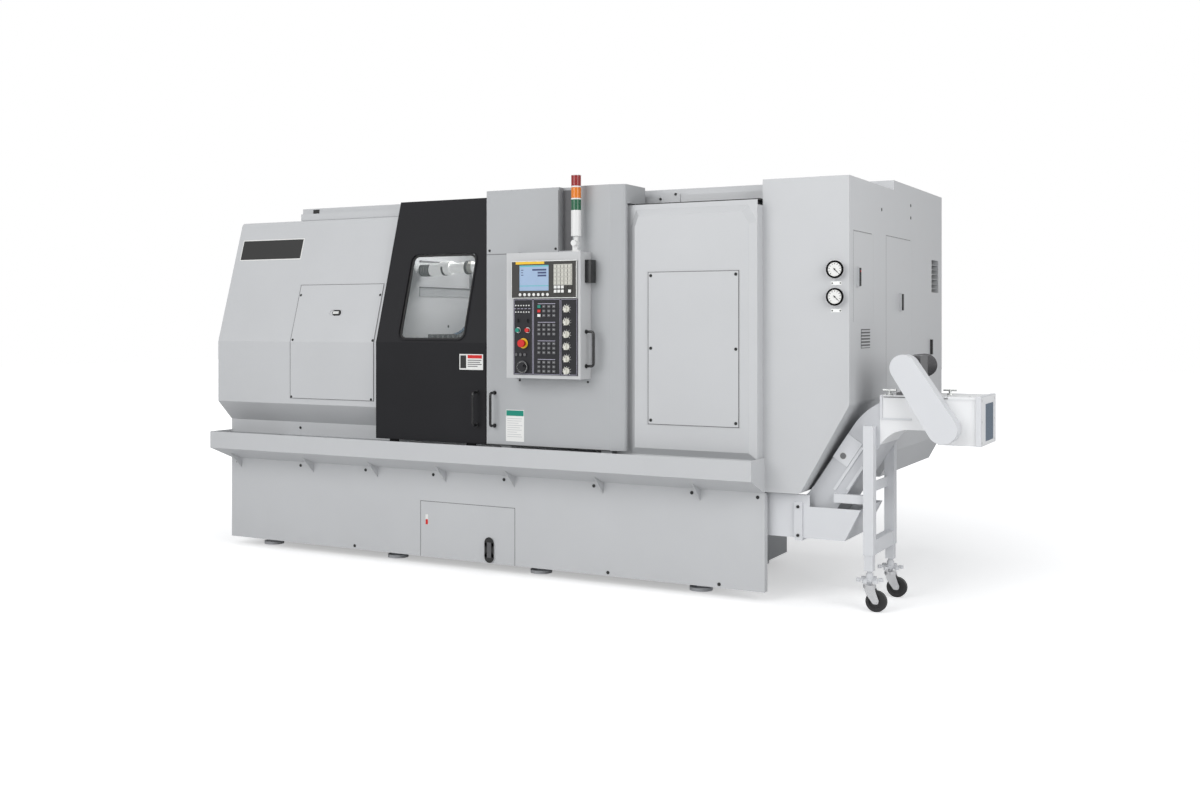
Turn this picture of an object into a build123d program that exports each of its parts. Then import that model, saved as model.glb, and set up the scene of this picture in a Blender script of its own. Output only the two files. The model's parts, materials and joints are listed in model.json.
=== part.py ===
from build123d import *
import os
from math import cos, radians, sin, sqrt, tan

# A slant-bed turning lathe in its sheet-metal enclosure, with an end cabinet and a chip conveyor.
# Lengths are millimetres. X runs along the machine to the right, Y from the front to the back, Z up.
# While it is built, X = 0 is the left end of the skirt, Y = 0 its front face and Z = 0 the floor.

# Running gaps
RUN_GAP = 0.3
PIN_PLAY = 0.05
SEAM = 0.6

# Base, skirt and drip tray
BASE_LENGTH = 3520.0
FLOOR_GAP = 50.0
SKIRT_TOP = 539.0
SKIRT_SHEET = 6.0
SKIRT_RETURN = 60.0
DECK_TOP = 700.0
DECK_LOW = 545.0
DECK_DEPTH = 1450.0
CASTING_RIGHT = 3240.0
CASTING_DEPTH = 1100.0
SILL_REACH = 130.0
SILL_THICK = 10.0
TRAY_REACH = 182.0
TRAY_LOW = 614.0
TRAY_TOP = 714.0
TRAY_SHEET = 4.0
RIB_POSITIONS = (80.0, 654.0, 1134.0, 1614.0, 2068.0, 2615.0, 3170.0)

# Service panel in the skirt
SERVICE_LEFT = 1444.0
SERVICE_RIGHT = 2074.0
SERVICE_TOP = 364.0
SERVICE_DEPTH = 250.0
SIGHT_X = 1913.0
SIGHT_Z = 124.0
SIGHT_LENGTH = 141.0
SIGHT_WIDTH = 62.0

# Chip trench, tank and conveyor
TRENCH_LEFT = 1290.0
TRENCH_FRONT = 40.0
TRENCH_BACK = 460.0
TANK_LOW = 325.0
TANK_TOP = 490.0
TANK_FRONT = 60.0
TANK_BACK = 440.0
TANK_SHEET = 5.0
TANK_END_LOW = 3905.0
TANK_END_TOP = 3985.0
TANK_FLANGE_X = 3655.0
TANK_FLANGE_WIDTH = 40.0
TROUGH_FRONT = 100.0
TROUGH_WIDTH = 320.0
TROUGH_DEPTH = 157.0
TROUGH_SHEET = 6.0
TROUGH_LEFT = 1400.0
TROUGH_AXIS_Z = TANK_LOW + TANK_SHEET + TROUGH_DEPTH / 2
INCLINE_LOW_X = 3718.0
INCLINE_HIGH_X = 4077.0
TROUGH_HIGH_Z = 949.5
BEND_UNDERSIDE = 170.0
HEAD_LEFT = 4068.0
HEAD_RIGHT = 4542.0
HEAD_TOP = 1033.0
HEAD_LOW = 805.0
HEAD_STEP_X = 4340.0
HEAD_SHEET = 5.0
GUARD_FRONT = 15.0
GUARD_TOP_X = 4198.0
GUARD_TOP_Z = 1167.0
GUARD_TOP_R = 62.0
GUARD_LOW_X = 4380.0
GUARD_LOW_Z = 886.0
GUARD_LOW_R = 70.0
GUARD_SHEET = 4.0
SHAFT_R = 15.0

# Conveyor stand and casters
POST_SIZE = 50.0
POST_X = 3999.0
POST_TOP = 885.0
POST_LOW = 266.0
LEG_SIZE = 42.0
LEG_LOW = 192.0
SCREW_R = 12.0
STAR_R = 64.0
STAR_THICK = 16.0
STAR_LOW = 141.0
FORK_TOP = 127.0
WHEEL_R = 50.0
WHEEL_WIDTH = 26.0
WHEEL_TRAIL = 33.0
AXLE_R = 6.0
SWIVEL_R = 8.0

# Enclosure sheets
COVER_SHEET = 4.0
GUARD_PLATE = 6.0
COVER_RIGHT = 1236.0
COVER_FACE = 115.0
BAND_TOP = 779.0
UNDERCUT_TOP = 896.0
KNEE_Z = 1263.0
SLANT_DEG = 16.0
COVER_TOP = 2000.0
COVER_BACK = 240.0
COVER_ROUND = 30.0
ROOF_Z = 2077.0
HOUSING_FRONT = 165.0
HOUSING_BACK = 420.0
HOUSING_LEFT = 430.0
RAIL_DEPTH = 40.0
RAIL_LOW = 2002.0
RAIL_HIGH = 2042.0
PARTITION_X = 1206.0
PARTITION_RIGHT = 3200.0
CABINET_LEFT = 3510.0

# Doors
DOOR_FACE = 150.0
DOOR_THICK = 30.0
DOOR_LOW = 724.0
BLACK_LEFT = 1243.0
BLACK_RIGHT = 1984.0
BLACK_TOP = 2077.0
GREY_LEFT = 1990.0
GREY_RIGHT = 2817.0
GREY_TOP = 2085.0
GREY_BEND_X = 2740.0
GREY_BEND_BACK = 22.0
SLOT_LEFT = 2440.0
SLOT_RIGHT = 2522.0
SLOT_BACK = -110.0
DOOR_TRAVEL = 690.0
WINDOW_LEFT = 1395.0
WINDOW_RIGHT = 1838.0
WINDOW_LOW = 22.0
WINDOW_HIGH = 521.0
WINDOW_ROUND = 42.0
GLASS_THICK = 8.0
HANDLE_LENGTH = 190.0
HANDLE_REACH = 45.0
HANDLE_ROD = 7.0
HANDLE_Z = 914.0
BLACK_HANDLE_X = 1930.0
GREY_HANDLE_X = 2042.0

# Raised right panel
PAN_SHEET_FACE = 74.0
PAN_RISE = 24.0
PAN_LEFT = 2822.0
PAN_TOP = 1956.0
PAN_LOW = 708.0
PAN_CORNER_X = 50.0
PAN_CORNER_Z = 84.0
PAN_TAPER = 55.0
PLATE_THICK = 3.0

# Cabinet
CABINET_RIGHT = 3947.0
CABINET_LOW = 546.0
CABINET_TOP = 2083.0
CABINET_SPLIT = 796.0
CABINET_DEPTH = 1880.0
CABINET_CUT_X = 3700.0
CABINET_CUT_Z = 985.0
REAR_TOP = 2135.0
REAR_CUT_X = 3870.0
REAR_CUT_Z = 697.0
# Side doors: front, back, bottom, top and the depth of the room behind
CABINET_DOORS = {
    "cabinet_door_front": (69.0, 409.0, 1380.0, 1820.0, 190.0),
    "cabinet_door_rear": (646.0, 1165.0, 1040.0, 1829.0, 240.0),
}

# Operator box and signal tower
BOX_LEFT = 2184.0
BOX_RIGHT = 2629.0
BOX_LOW = 1090.0
BOX_TOP = 1740.0
BOX_FRONT = 262.0
BOX_GAP = 1.0
TOWER_X = 2578.0
TOWER_Y = -215.0
TOWER_PIVOT_Z = 1785.0
LENS_R = 26.0

# Operator box details
PANEL_FACE = BOX_FRONT + 4.0
UNIT_FACE = BOX_FRONT + 8.0
KNOB_X = 2552.0
KNOB_Z = (1448.0, 1382.0, 1318.0, 1256.0, 1194.0, 1132.0)
KNOB_R = 17.5
STOP_X, STOP_Z = 2296.0, 1271.0
START_X, HOLD_X, START_Z = 2262.0, 2320.0, 1339.0
DIAL_X, DIAL_Z, DIAL_R = 2292.0, 1148.0, 33.0
STEM_R = 5.0
STEM_DEPTH = 30.0
HINGE_R = 8.0
HINGE_INSET = 14.0

# Bed, headstock and slides
BED_FOOT_Y = 480.0
BED_LEFT = 1300.0
BED_RIGHT = 3180.0
BED_BACK_Y = 1100.0
BED_SLOPE = 834.0
SPINDLE_S = 226.0
SPINDLE_H = 300.0
WAY_HEIGHT = 30.0
WAY_WIDTH = 80.0
WAY_LOW_S = 100.0
WAY_HIGH_S = 500.0
HEAD_CAST_LEFT = 420.0
HEAD_CAST_RIGHT = 1180.0
SPINDLE_R = 110.0
BORE_R = 50.0
NOSE_R = 150.0
CHUCK_R = 190.0
CHUCK_LEFT = 1262.0
CHUCK_RIGHT = 1400.0
JAW_WIDTH = 44.0
JAW_REACH = 50.0
DISC_S = SPINDLE_S + 420

HALF = sqrt(0.5)


def block(x0, x1, y0, y1, z0, z1):
    """A box between two corners."""
    centre = Pos((x0 + x1) / 2, (y0 + y1) / 2, (z0 + z1) / 2)
    return centre * Box(x1 - x0, y1 - y0, z1 - z0)


def outline(points, rounds=None):
    """A closed outline whose corners, picked by their place in the list, may be rounded."""
    face = Polygon(*points, align=None)
    for index, radius in (rounds or {}).items():
        corner = Vector(points[index][0], points[index][1], 0)
        nearest = min(face.vertices(), key=lambda v: (Vector(v) - corner).length)
        face = fillet([nearest], radius)
    return face


def along_x(points, x0, x1, rounds=None):
    """A prism along X of an outline given as (Y, Z)."""
    face = Plane.YZ * outline(points, rounds)
    return Pos(x0, 0, 0) * extrude(face, amount=x1 - x0, dir=(1, 0, 0))


def along_y(points, y0, y1, rounds=None):
    """A prism along Y of an outline given as (X, Z)."""
    face = Plane.XZ * outline(points, rounds)
    return Pos(0, y1, 0) * extrude(face, amount=y1 - y0, dir=(0, -1, 0))


def along_z(points, z0, z1, rounds=None):
    """A prism along Z of an outline given as (X, Y)."""
    return Pos(0, 0, z0) * extrude(outline(points, rounds), amount=z1 - z0, dir=(0, 0, 1))


def rod_x(y, z, radius, x0, x1):
    """A cylinder along X."""
    return extrude(Plane(origin=(x0, y, z), x_dir=(0, 1, 0), z_dir=(1, 0, 0)) * Circle(radius), amount=x1 - x0)


def rod_y(x, z, radius, y0, y1):
    """A cylinder along Y."""
    return extrude(Plane(origin=(x, y0, z), x_dir=(1, 0, 0), z_dir=(0, 1, 0)) * Circle(radius), amount=y1 - y0)


def rod_z(x, y, radius, z0, z1):
    """A cylinder along Z."""
    return Pos(x, y, z0) * extrude(Circle(radius), amount=z1 - z0)


def offset_line(points, distance):
    """The points of an open line moved sideways, to the left of its direction, with mitred corners."""
    normals = []
    for (a, b), (c, d) in zip(points, points[1:]):
        run = sqrt((c - a) ** 2 + (d - b) ** 2)
        normals.append((-(d - b) / run, (c - a) / run))
    moved = []
    for index, (a, b) in enumerate(points):
        before = normals[max(index - 1, 0)]
        after = normals[min(index, len(normals) - 1)]
        share = 1 + before[0] * after[0] + before[1] * after[1]
        shift = ((before[0] + after[0]) / share, (before[1] + after[1]) / share)
        moved.append((a + shift[0] * distance, b + shift[1] * distance))
    return moved


def folded(points, thickness):
    """The closed section of a sheet folded along an open line, with its thickness on the right."""
    return points + offset_line(points, -thickness)[::-1]


def d_handle(length, reach, rod):
    """A bent-rod handle with round feet, its feet on Y = 0 and its grip towards -Y."""
    half = length / 2 - rod
    path = FilletPolyline((0, 0, -half), (0, -reach, -half), (0, -reach, half), (0, 0, half), radius=2 * rod)
    grip = sweep(Plane(origin=(0, 0, -half), z_dir=(0, -1, 0)) * Circle(rod), path=path)
    feet = [rod_y(0, z, rod + 4, -6, 0) for z in (-half, half)]
    return grip + feet


def slant_y(z, stand_off):
    """Y of the leaning front plane at a height, moved out by a stand-off."""
    lean = radians(SLANT_DEG)
    return -COVER_FACE - stand_off / cos(lean) + (z - KNEE_Z) * tan(lean)


def on_slope(s, h):
    """(Y, Z) of a point s along the bed's slope and h above it."""
    return (BED_FOOT_Y + (s - h) * HALF, DECK_TOP + (s + h) * HALF)


def slope_block(x0, x1, s0, s1, h0, h1):
    """A box that lies on the bed's slope."""
    return along_x([on_slope(s0, h0), on_slope(s1, h0), on_slope(s1, h1), on_slope(s0, h1)], x0, x1)


COVER_LINE = [
    (0, DECK_TOP),
    (0, BAND_TOP),
    (-COVER_FACE, UNDERCUT_TOP),
    (-COVER_FACE, KNEE_Z),
    (slant_y(COVER_TOP, 0), COVER_TOP),
    (COVER_BACK, COVER_TOP),
]
SPINDLE_Y, SPINDLE_Z = on_slope(SPINDLE_S, SPINDLE_H)
RAIL_FRONT = HOUSING_FRONT - RAIL_DEPTH
DOOR_INNER = DOOR_FACE - DOOR_THICK
PAN_FACE = PAN_SHEET_FACE + PAN_RISE
HINGE_X = BOX_LEFT + HINGE_INSET
HINGE_Y = -DOOR_FACE - BOX_GAP - HINGE_INSET
TROUGH_BACK = TROUGH_FRONT + TROUGH_WIDTH
parts = {}


def base_frame():
    """The base casting: a block on the floor feet, a wide deck and the chip trench cut through both."""
    body = block(60, CASTING_RIGHT, SKIRT_SHEET, CASTING_DEPTH, FLOOR_GAP, DECK_LOW)
    deck = block(0, CABINET_LEFT, SKIRT_SHEET, DECK_DEPTH, DECK_LOW, DECK_TOP)
    sill = block(HOUSING_LEFT, CABINET_LEFT, -SILL_REACH, SKIRT_SHEET, DECK_TOP - SILL_THICK, DECK_TOP)
    apron = block(0, CABINET_LEFT, 0, SKIRT_SHEET, SKIRT_TOP, DECK_TOP)
    trench = block(TRENCH_LEFT, CABINET_LEFT, TRENCH_FRONT, TRENCH_BACK, TANK_LOW, DECK_TOP)
    room = block(SERVICE_LEFT + 20, SERVICE_RIGHT - 20, SKIRT_SHEET, SERVICE_DEPTH, FLOOR_GAP + 30, TANK_LOW - 20)
    return body + deck + sill + apron - trench - room


def levelling_feet():
    """Eight pads on the floor, each with its screw up into the casting."""
    feet = []
    for x in (220, 1180, 2160, 3120):
        for y in (140, CASTING_DEPTH - 140):
            pad = rod_z(x, y, 60, 0, 18) + rod_z(x, y, 22, 18, FLOOR_GAP)
            feet.append(pad)
    return Compound(feet)


def skirt():
    """The folded front skirt with its side returns and the service panel opening."""
    panel = block(0, BASE_LENGTH, 0, SKIRT_SHEET, FLOOR_GAP, SKIRT_TOP)
    left = block(0, SKIRT_SHEET, 0, SKIRT_RETURN, FLOOR_GAP, SKIRT_TOP)
    right = block(BASE_LENGTH - SKIRT_SHEET, BASE_LENGTH, 0, TRENCH_FRONT, FLOOR_GAP, SKIRT_TOP)
    opening = block(SERVICE_LEFT, SERVICE_RIGHT, -1, SKIRT_SHEET + 1, FLOOR_GAP - 1, SERVICE_TOP)
    return panel + left + right - opening


def service_panel():
    """The service panel, flush in the skirt, with the oval frame of its sight glass."""
    panel = block(SERVICE_LEFT + SEAM, SERVICE_RIGHT - SEAM, 0, SKIRT_SHEET, FLOOR_GAP, SERVICE_TOP - SEAM)
    oval = Plane(origin=(SIGHT_X, 0, SIGHT_Z), x_dir=(0, 0, 1), z_dir=(0, -1, 0))
    rim = extrude(oval * SlotOverall(SIGHT_LENGTH, SIGHT_WIDTH), amount=8)
    glass = extrude(oval * SlotOverall(SIGHT_LENGTH - 26, SIGHT_WIDTH - 26), amount=8)
    recess = Pos(0, -6, 0) * glass
    return panel + rim - recess


def drip_tray():
    """The folded tray along the front, with end caps and the ribs that carry it."""
    line = [(0, SKIRT_TOP), (-TRAY_REACH, TRAY_LOW), (-TRAY_REACH, TRAY_TOP)]
    inner = offset_line(line, -TRAY_SHEET)
    section = line + inner[::-1]
    section[-1] = (0, SKIRT_TOP + TRAY_SHEET)
    tray = along_x(section, 0, BASE_LENGTH)
    cap = line + [(0, TRAY_TOP)]
    for x in (0, BASE_LENGTH - TRAY_SHEET):
        tray += along_x(cap, x, x + TRAY_SHEET)
    foot = SKIRT_TOP - 60
    for x in RIB_POSITIONS:
        tray += along_x([(0, SKIRT_TOP), (-TRAY_REACH * 0.55, SKIRT_TOP + 41), (0, foot)], x, x + 5)
    return tray


def left_cover():
    """The folded headstock cover with its undercut band, leaning front, top and left end wall."""
    bends = {4: COVER_ROUND, 7: COVER_ROUND - COVER_SHEET}
    sheet = along_x(folded(COVER_LINE, COVER_SHEET), 0, COVER_RIGHT, bends)
    wall = along_x(COVER_LINE + [(COVER_BACK, DECK_TOP)], 0, COVER_SHEET, {4: COVER_ROUND})
    return sheet + wall


def access_plates():
    """The two screwed plates: one bent over the headstock cover's knee, one flat on the raised panel."""
    low, high = 930.0, 1603.0
    line = [
        (-COVER_FACE, low),
        (-COVER_FACE, KNEE_Z),
        (slant_y(high, 0), high),
    ]
    bent = along_x(line + offset_line(line, PLATE_THICK)[::-1], 580, 1200)
    lean = Plane(origin=(889, slant_y(1434, 0), 1434), x_dir=(1, 0, 0), z_dir=(0, -cos(radians(16)), sin(radians(16))))
    bent -= extrude(lean * SlotOverall(100, 36), amount=10, both=True)
    flat = block(2933, 3423, -PAN_FACE - PLATE_THICK, -PAN_FACE, 866, 1633)
    return Compound([bent, flat])


def body_guard():
    """The enclosure's walls, roofs, partitions and rail housing: plates that butt against each other."""
    t = GUARD_PLATE
    back, inner = DECK_DEPTH, DECK_DEPTH - t
    eave, ceiling = COVER_TOP - t, ROOF_Z - t
    bed_top = on_slope(BED_SLOPE, 0)[1]
    step = PARTITION_X - t
    low_wall = PAN_TOP
    plates = [
        block(0, PARTITION_X, inner, back, DECK_TOP, COVER_TOP),
        block(PARTITION_X, CABINET_LEFT, inner, back, DECK_TOP, ROOF_Z),
        block(0, t, COVER_BACK, inner, DECK_TOP, eave),
        block(0, PARTITION_X, COVER_BACK, inner, eave, COVER_TOP),
        block(step, PARTITION_X, HOUSING_FRONT + t, inner, COVER_TOP, ceiling),
        block(step, CABINET_LEFT, HOUSING_FRONT + t, inner, ceiling, ROOF_Z),
        block(HOUSING_LEFT, CABINET_LEFT - t, HOUSING_FRONT, HOUSING_FRONT + t, COVER_TOP, ROOF_Z),
        block(HOUSING_LEFT, step, HOUSING_FRONT + t, HOUSING_BACK, ceiling, ROOF_Z),
        block(HOUSING_LEFT + t, step, HOUSING_BACK - t, HOUSING_BACK, COVER_TOP, ceiling),
        block(HOUSING_LEFT, HOUSING_LEFT + t, HOUSING_FRONT + t, HOUSING_BACK, COVER_TOP, ceiling),
        block(PARTITION_RIGHT, PARTITION_RIGHT + t, -PAN_SHEET_FACE + t, inner, DECK_TOP, low_wall),
        block(CABINET_LEFT - t, CABINET_LEFT, -PAN_SHEET_FACE + t, HOUSING_FRONT, DECK_TOP, low_wall),
        block(CABINET_LEFT - t, CABINET_LEFT, HOUSING_FRONT, inner, DECK_TOP, ceiling),
        block(PARTITION_X, PARTITION_RIGHT, BED_BACK_Y - t, BED_BACK_Y, bed_top, ceiling),
        block(HOUSING_LEFT + 20, CABINET_LEFT - t, RAIL_FRONT, HOUSING_FRONT, RAIL_LOW, RAIL_HIGH),
    ]
    rim = offset_line(COVER_LINE, -COVER_SHEET - 1) + [(inner, COVER_TOP), (inner, DECK_TOP)]
    wall = along_x(rim, step, PARTITION_X, {4: COVER_ROUND})
    wall -= rod_x(SPINDLE_Y, SPINDLE_Z, NOSE_R + 8, step - t, PARTITION_X + t)
    wall -= block(0, CABINET_LEFT, -COVER_FACE, back, eave, COVER_TOP)
    return Compound(plates + [wall])


def right_panel():
    """The fixed right panel: a base sheet with one raised field whose sides slope and whose top corners are cut."""
    sheet = block(GREY_BEND_X, CABINET_LEFT, -PAN_SHEET_FACE, -PAN_SHEET_FACE + GUARD_PLATE, DECK_TOP, 1980)
    x0, x1 = PAN_LEFT, CABINET_LEFT
    field = [
        (x0, PAN_LOW),
        (x1, PAN_LOW),
        (x1, PAN_TOP - PAN_CORNER_Z),
        (x1 - PAN_CORNER_X, PAN_TOP),
        (x0 + PAN_CORNER_X * 0.6, PAN_TOP),
        (x0, PAN_TOP - PAN_CORNER_Z),
    ]
    face = Plane(origin=(0, -PAN_SHEET_FACE, 0), x_dir=(1, 0, 0), z_dir=(0, -1, 0)) * outline(field)
    return sheet + extrude(face, amount=PAN_RISE, taper=PAN_TAPER)


def door_plane():
    """The leaning outer face of the black door, its origin at the knee."""
    lean = radians(SLANT_DEG)
    stand = DOOR_FACE - COVER_FACE
    knee = offset_line([(-COVER_FACE, DOOR_LOW), (-COVER_FACE, KNEE_Z), (slant_y(BLACK_TOP, 0), BLACK_TOP)], stand)[1]
    return Plane(origin=(0, knee[0], knee[1]), x_dir=(1, 0, 0), z_dir=(0, -cos(lean), sin(lean)))


def window_cutter(depth):
    """The rounded window outline, pushed in from the leaning face."""
    plane = door_plane()
    x = (WINDOW_LEFT + WINDOW_RIGHT) / 2
    u = (WINDOW_LOW + WINDOW_HIGH) / 2
    shape = Pos(x, u) * RectangleRounded(WINDOW_RIGHT - WINDOW_LEFT, WINDOW_HIGH - WINDOW_LOW, WINDOW_ROUND)
    return extrude(plane * shape, amount=-depth)


def door_section():
    """The black door's section: straight below the knee, leaning above it, one thickness all along."""
    stand = DOOR_FACE - COVER_FACE
    line = [(-COVER_FACE, DOOR_LOW), (-COVER_FACE, KNEE_Z), (slant_y(BLACK_TOP, 0), BLACK_TOP)]
    outer = offset_line(line, stand)
    inner = offset_line(line, stand - DOOR_THICK)
    outer[-1] = (slant_y(BLACK_TOP, stand), BLACK_TOP)
    inner[-1] = (slant_y(BLACK_TOP, stand - DOOR_THICK), BLACK_TOP)
    return outer + inner[::-1]


def black_door():
    """The black sliding door with its window opening."""
    door = along_x(door_section(), BLACK_LEFT, BLACK_RIGHT)
    door -= window_cutter(DOOR_THICK * 2)
    back = slant_y(RAIL_HIGH, DOOR_FACE - COVER_FACE - DOOR_THICK) - 20
    for x in (BLACK_LEFT + 110, BLACK_RIGHT - 110):
        door += block(x - 40, x + 40, back, RAIL_FRONT - RUN_GAP, RAIL_LOW + 6, RAIL_HIGH - 6)
    return door


def door_guides(left, right):
    """Feet under a door that run on the sill."""
    places = (left + 110, right - 110)
    return [block(x - 30, x + 30, -DOOR_FACE + 22, -DOOR_INNER, DECK_TOP + RUN_GAP, DOOR_LOW) for x in places]


def door_window():
    """The window pane, let into the door."""
    return window_cutter(18) - window_cutter(18 - GLASS_THICK)


def grey_door():
    """The grey sliding door: a formed front, a web that follows the black door's lean, and the cable slot."""
    bend = -DOOR_FACE + GREY_BEND_BACK
    end = -PAN_FACE - PLATE_THICK - 3
    section = [
        (GREY_LEFT, -DOOR_FACE),
        (GREY_BEND_X, -DOOR_FACE),
        (GREY_RIGHT, bend),
        (GREY_RIGHT, end),
        (GREY_RIGHT - DOOR_THICK, end),
        (GREY_RIGHT - DOOR_THICK, bend + DOOR_THICK - 8),
        (GREY_BEND_X, -DOOR_INNER),
        (GREY_LEFT, -DOOR_INNER),
    ]
    door = along_z(section, DOOR_LOW, GREY_TOP, {2: 16})
    stand = DOOR_FACE - COVER_FACE - DOOR_THICK
    web = [
        (-DOOR_INNER, DOOR_LOW),
        (-DOOR_INNER + 30, DOOR_LOW),
        (-DOOR_INNER + 30, KNEE_Z),
        (slant_y(GREY_TOP, stand) - 10, GREY_TOP),
        (-DOOR_INNER, GREY_TOP),
    ]
    door += along_x(web, GREY_LEFT, GREY_LEFT + 20)
    back = 100.0
    upper = PAN_TOP + 34
    door += block(GREY_RIGHT - 20, GREY_RIGHT, end, back, upper, GREY_TOP)
    door += block(GREY_LEFT, GREY_RIGHT, -DOOR_INNER, back, GREY_TOP - 6, GREY_TOP)
    slot = block(SLOT_LEFT, SLOT_RIGHT, -DOOR_FACE - 1, SLOT_BACK, BOX_TOP + 12, GREY_TOP + 1)
    duct = block(SLOT_LEFT - 4, SLOT_RIGHT + 4, -DOOR_INNER, SLOT_BACK + 4, BOX_TOP + 8, GREY_TOP - 6)
    door = door + duct - slot
    for x in (GREY_LEFT + 150, GREY_RIGHT - 150):
        door += block(x - 40, x + 40, back - 12, RAIL_FRONT - RUN_GAP, RAIL_LOW + 4, GREY_TOP)
    return door


def cabinet():
    """The end cabinet with its cut lower corner, taller rear box and the rooms behind its two side doors."""
    front = [
        (CABINET_LEFT, CABINET_LOW),
        (CABINET_CUT_X, CABINET_LOW),
        (CABINET_RIGHT, CABINET_CUT_Z),
        (CABINET_RIGHT, CABINET_TOP),
        (CABINET_LEFT, CABINET_TOP),
    ]
    rear = [
        (CABINET_LEFT, CABINET_LOW + 8),
        (REAR_CUT_X, CABINET_LOW + 8),
        (CABINET_RIGHT, REAR_CUT_Z),
        (CABINET_RIGHT, REAR_TOP),
        (CABINET_LEFT, REAR_TOP),
    ]
    shell = along_y(front, 0, CABINET_SPLIT, {1: 25, 2: 40})
    shell += along_y(rear, CABINET_SPLIT, CABINET_DEPTH)
    for name, (y0, y1, z0, z1, deep) in CABINET_DOORS.items():
        shell -= block(CABINET_RIGHT - PLATE_THICK, CABINET_RIGHT + 1, y0, y1, z0, z1)
        shell -= block(CABINET_RIGHT - deep, CABINET_RIGHT, y0 + 10, y1 - 10, z0 + 10, z1 - 10)
    shell -= block(CABINET_RIGHT - 40, CABINET_RIGHT + 1, 1625, 1792, 1555, 1746)
    return shell


def cabinet_door(y0, y1, z0, z1, latch_y, latch_z):
    """A flush side door with its latch."""
    plate = block(CABINET_RIGHT - PLATE_THICK, CABINET_RIGHT, y0 + SEAM, y1 - SEAM, z0 + SEAM, z1 - SEAM)
    latch = block(CABINET_RIGHT, CABINET_RIGHT + 14, latch_y - 14, latch_y + 14, latch_z - 48, latch_z + 48)
    return plate + latch


def pressure_gauges():
    """Two pressure gauges on the cabinet's front."""
    gauges = []
    for z in (1633.0, 1502.0):
        gauge = rod_y(3884, z, 36, -26, 0) + rod_y(3884, z, 42, -30, -20) - rod_y(3884, z, 34, -31, -27)
        gauges.append(gauge)
    return Compound(gauges)


def headstock():
    """The headstock casting with the bore for its spindle."""
    section = [
        (190, DECK_TOP),
        (900, DECK_TOP),
        (900, 1210),
        (780, 1330),
        (300, 1330),
        (190, 1220),
    ]
    casting = along_x(section, HEAD_CAST_LEFT, HEAD_CAST_RIGHT)
    return casting - rod_x(SPINDLE_Y, SPINDLE_Z, SPINDLE_R + PIN_PLAY, HEAD_CAST_LEFT - 1, HEAD_CAST_RIGHT + 1)


def spindle():
    """The hollow spindle with its nose flange and rear pulley."""
    shaft = rod_x(SPINDLE_Y, SPINDLE_Z, SPINDLE_R, 330, CHUCK_LEFT)
    nose = rod_x(SPINDLE_Y, SPINDLE_Z, NOSE_R, HEAD_CAST_RIGHT + RUN_GAP, CHUCK_LEFT)
    pulley = rod_x(SPINDLE_Y, SPINDLE_Z, 165, 330, HEAD_CAST_LEFT - RUN_GAP)
    return shaft + nose + pulley - rod_x(SPINDLE_Y, SPINDLE_Z, BORE_R, 329, CHUCK_LEFT + 1)


def turned(shape, degrees):
    """A shape turned about the spindle's axis."""
    axis = Axis((0, SPINDLE_Y, SPINDLE_Z), (1, 0, 0))
    return shape.rotate(axis, degrees)


def chuck_body():
    """The chuck body with its three jaw slots."""
    body = rod_x(SPINDLE_Y, SPINDLE_Z, CHUCK_R, CHUCK_LEFT, CHUCK_RIGHT)
    body -= rod_x(SPINDLE_Y, SPINDLE_Z, BORE_R, CHUCK_LEFT - 1, CHUCK_RIGHT + 1)
    half = JAW_WIDTH / 2 + RUN_GAP
    slot = block(CHUCK_RIGHT - 30, CHUCK_RIGHT + 1, SPINDLE_Y - half, SPINDLE_Y + half, SPINDLE_Z, SPINDLE_Z + CHUCK_R + 1)
    for turn in (0, 120, 240):
        body -= turned(slot, turn)
    return body


def chuck_jaw(turn):
    """One stepped jaw, in its slot."""
    y, z = SPINDLE_Y, SPINDLE_Z
    half = JAW_WIDTH / 2
    jaw = block(CHUCK_RIGHT - 30 + RUN_GAP, CHUCK_RIGHT + JAW_REACH, y - half, y + half, z + 62, z + 182)
    jaw -= block(CHUCK_RIGHT + 30, CHUCK_RIGHT + JAW_REACH + 1, y - half - 1, y + half + 1, z + 104, z + 183)
    jaw -= block(CHUCK_RIGHT + 12, CHUCK_RIGHT + JAW_REACH + 1, y - half - 1, y + half + 1, z + 146, z + 183)
    return turned(jaw, turn)


def slant_bed():
    """The slanted bed casting with its two box guideways."""
    top = on_slope(BED_SLOPE, 0)
    section = [(BED_FOOT_Y, DECK_TOP)]
    for s in (WAY_LOW_S, WAY_HIGH_S):
        section += [on_slope(s, 0), on_slope(s, WAY_HEIGHT), on_slope(s + WAY_WIDTH, WAY_HEIGHT), on_slope(s + WAY_WIDTH, 0)]
    section += [top, (BED_BACK_Y, top[1]), (BED_BACK_Y, DECK_TOP)]
    return along_x(section, BED_LEFT, BED_RIGHT)


def carriage():
    """The carriage that straddles both guideways."""
    return slope_block(1670, 2060, 60, 620, WAY_HEIGHT + RUN_GAP, 110)


def cross_slide():
    """The cross slide with the turret head on it."""
    slide = slope_block(1680, 2020, 250, 720, 110 + RUN_GAP, 190)
    head = slope_block(1664, 1960, DISC_S - 130, DISC_S + 130, 189, 420)
    y, z = on_slope(DISC_S, SPINDLE_H)
    return slide + head - rod_x(y, z, 40 + PIN_PLAY, 1663, 1800)


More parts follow.
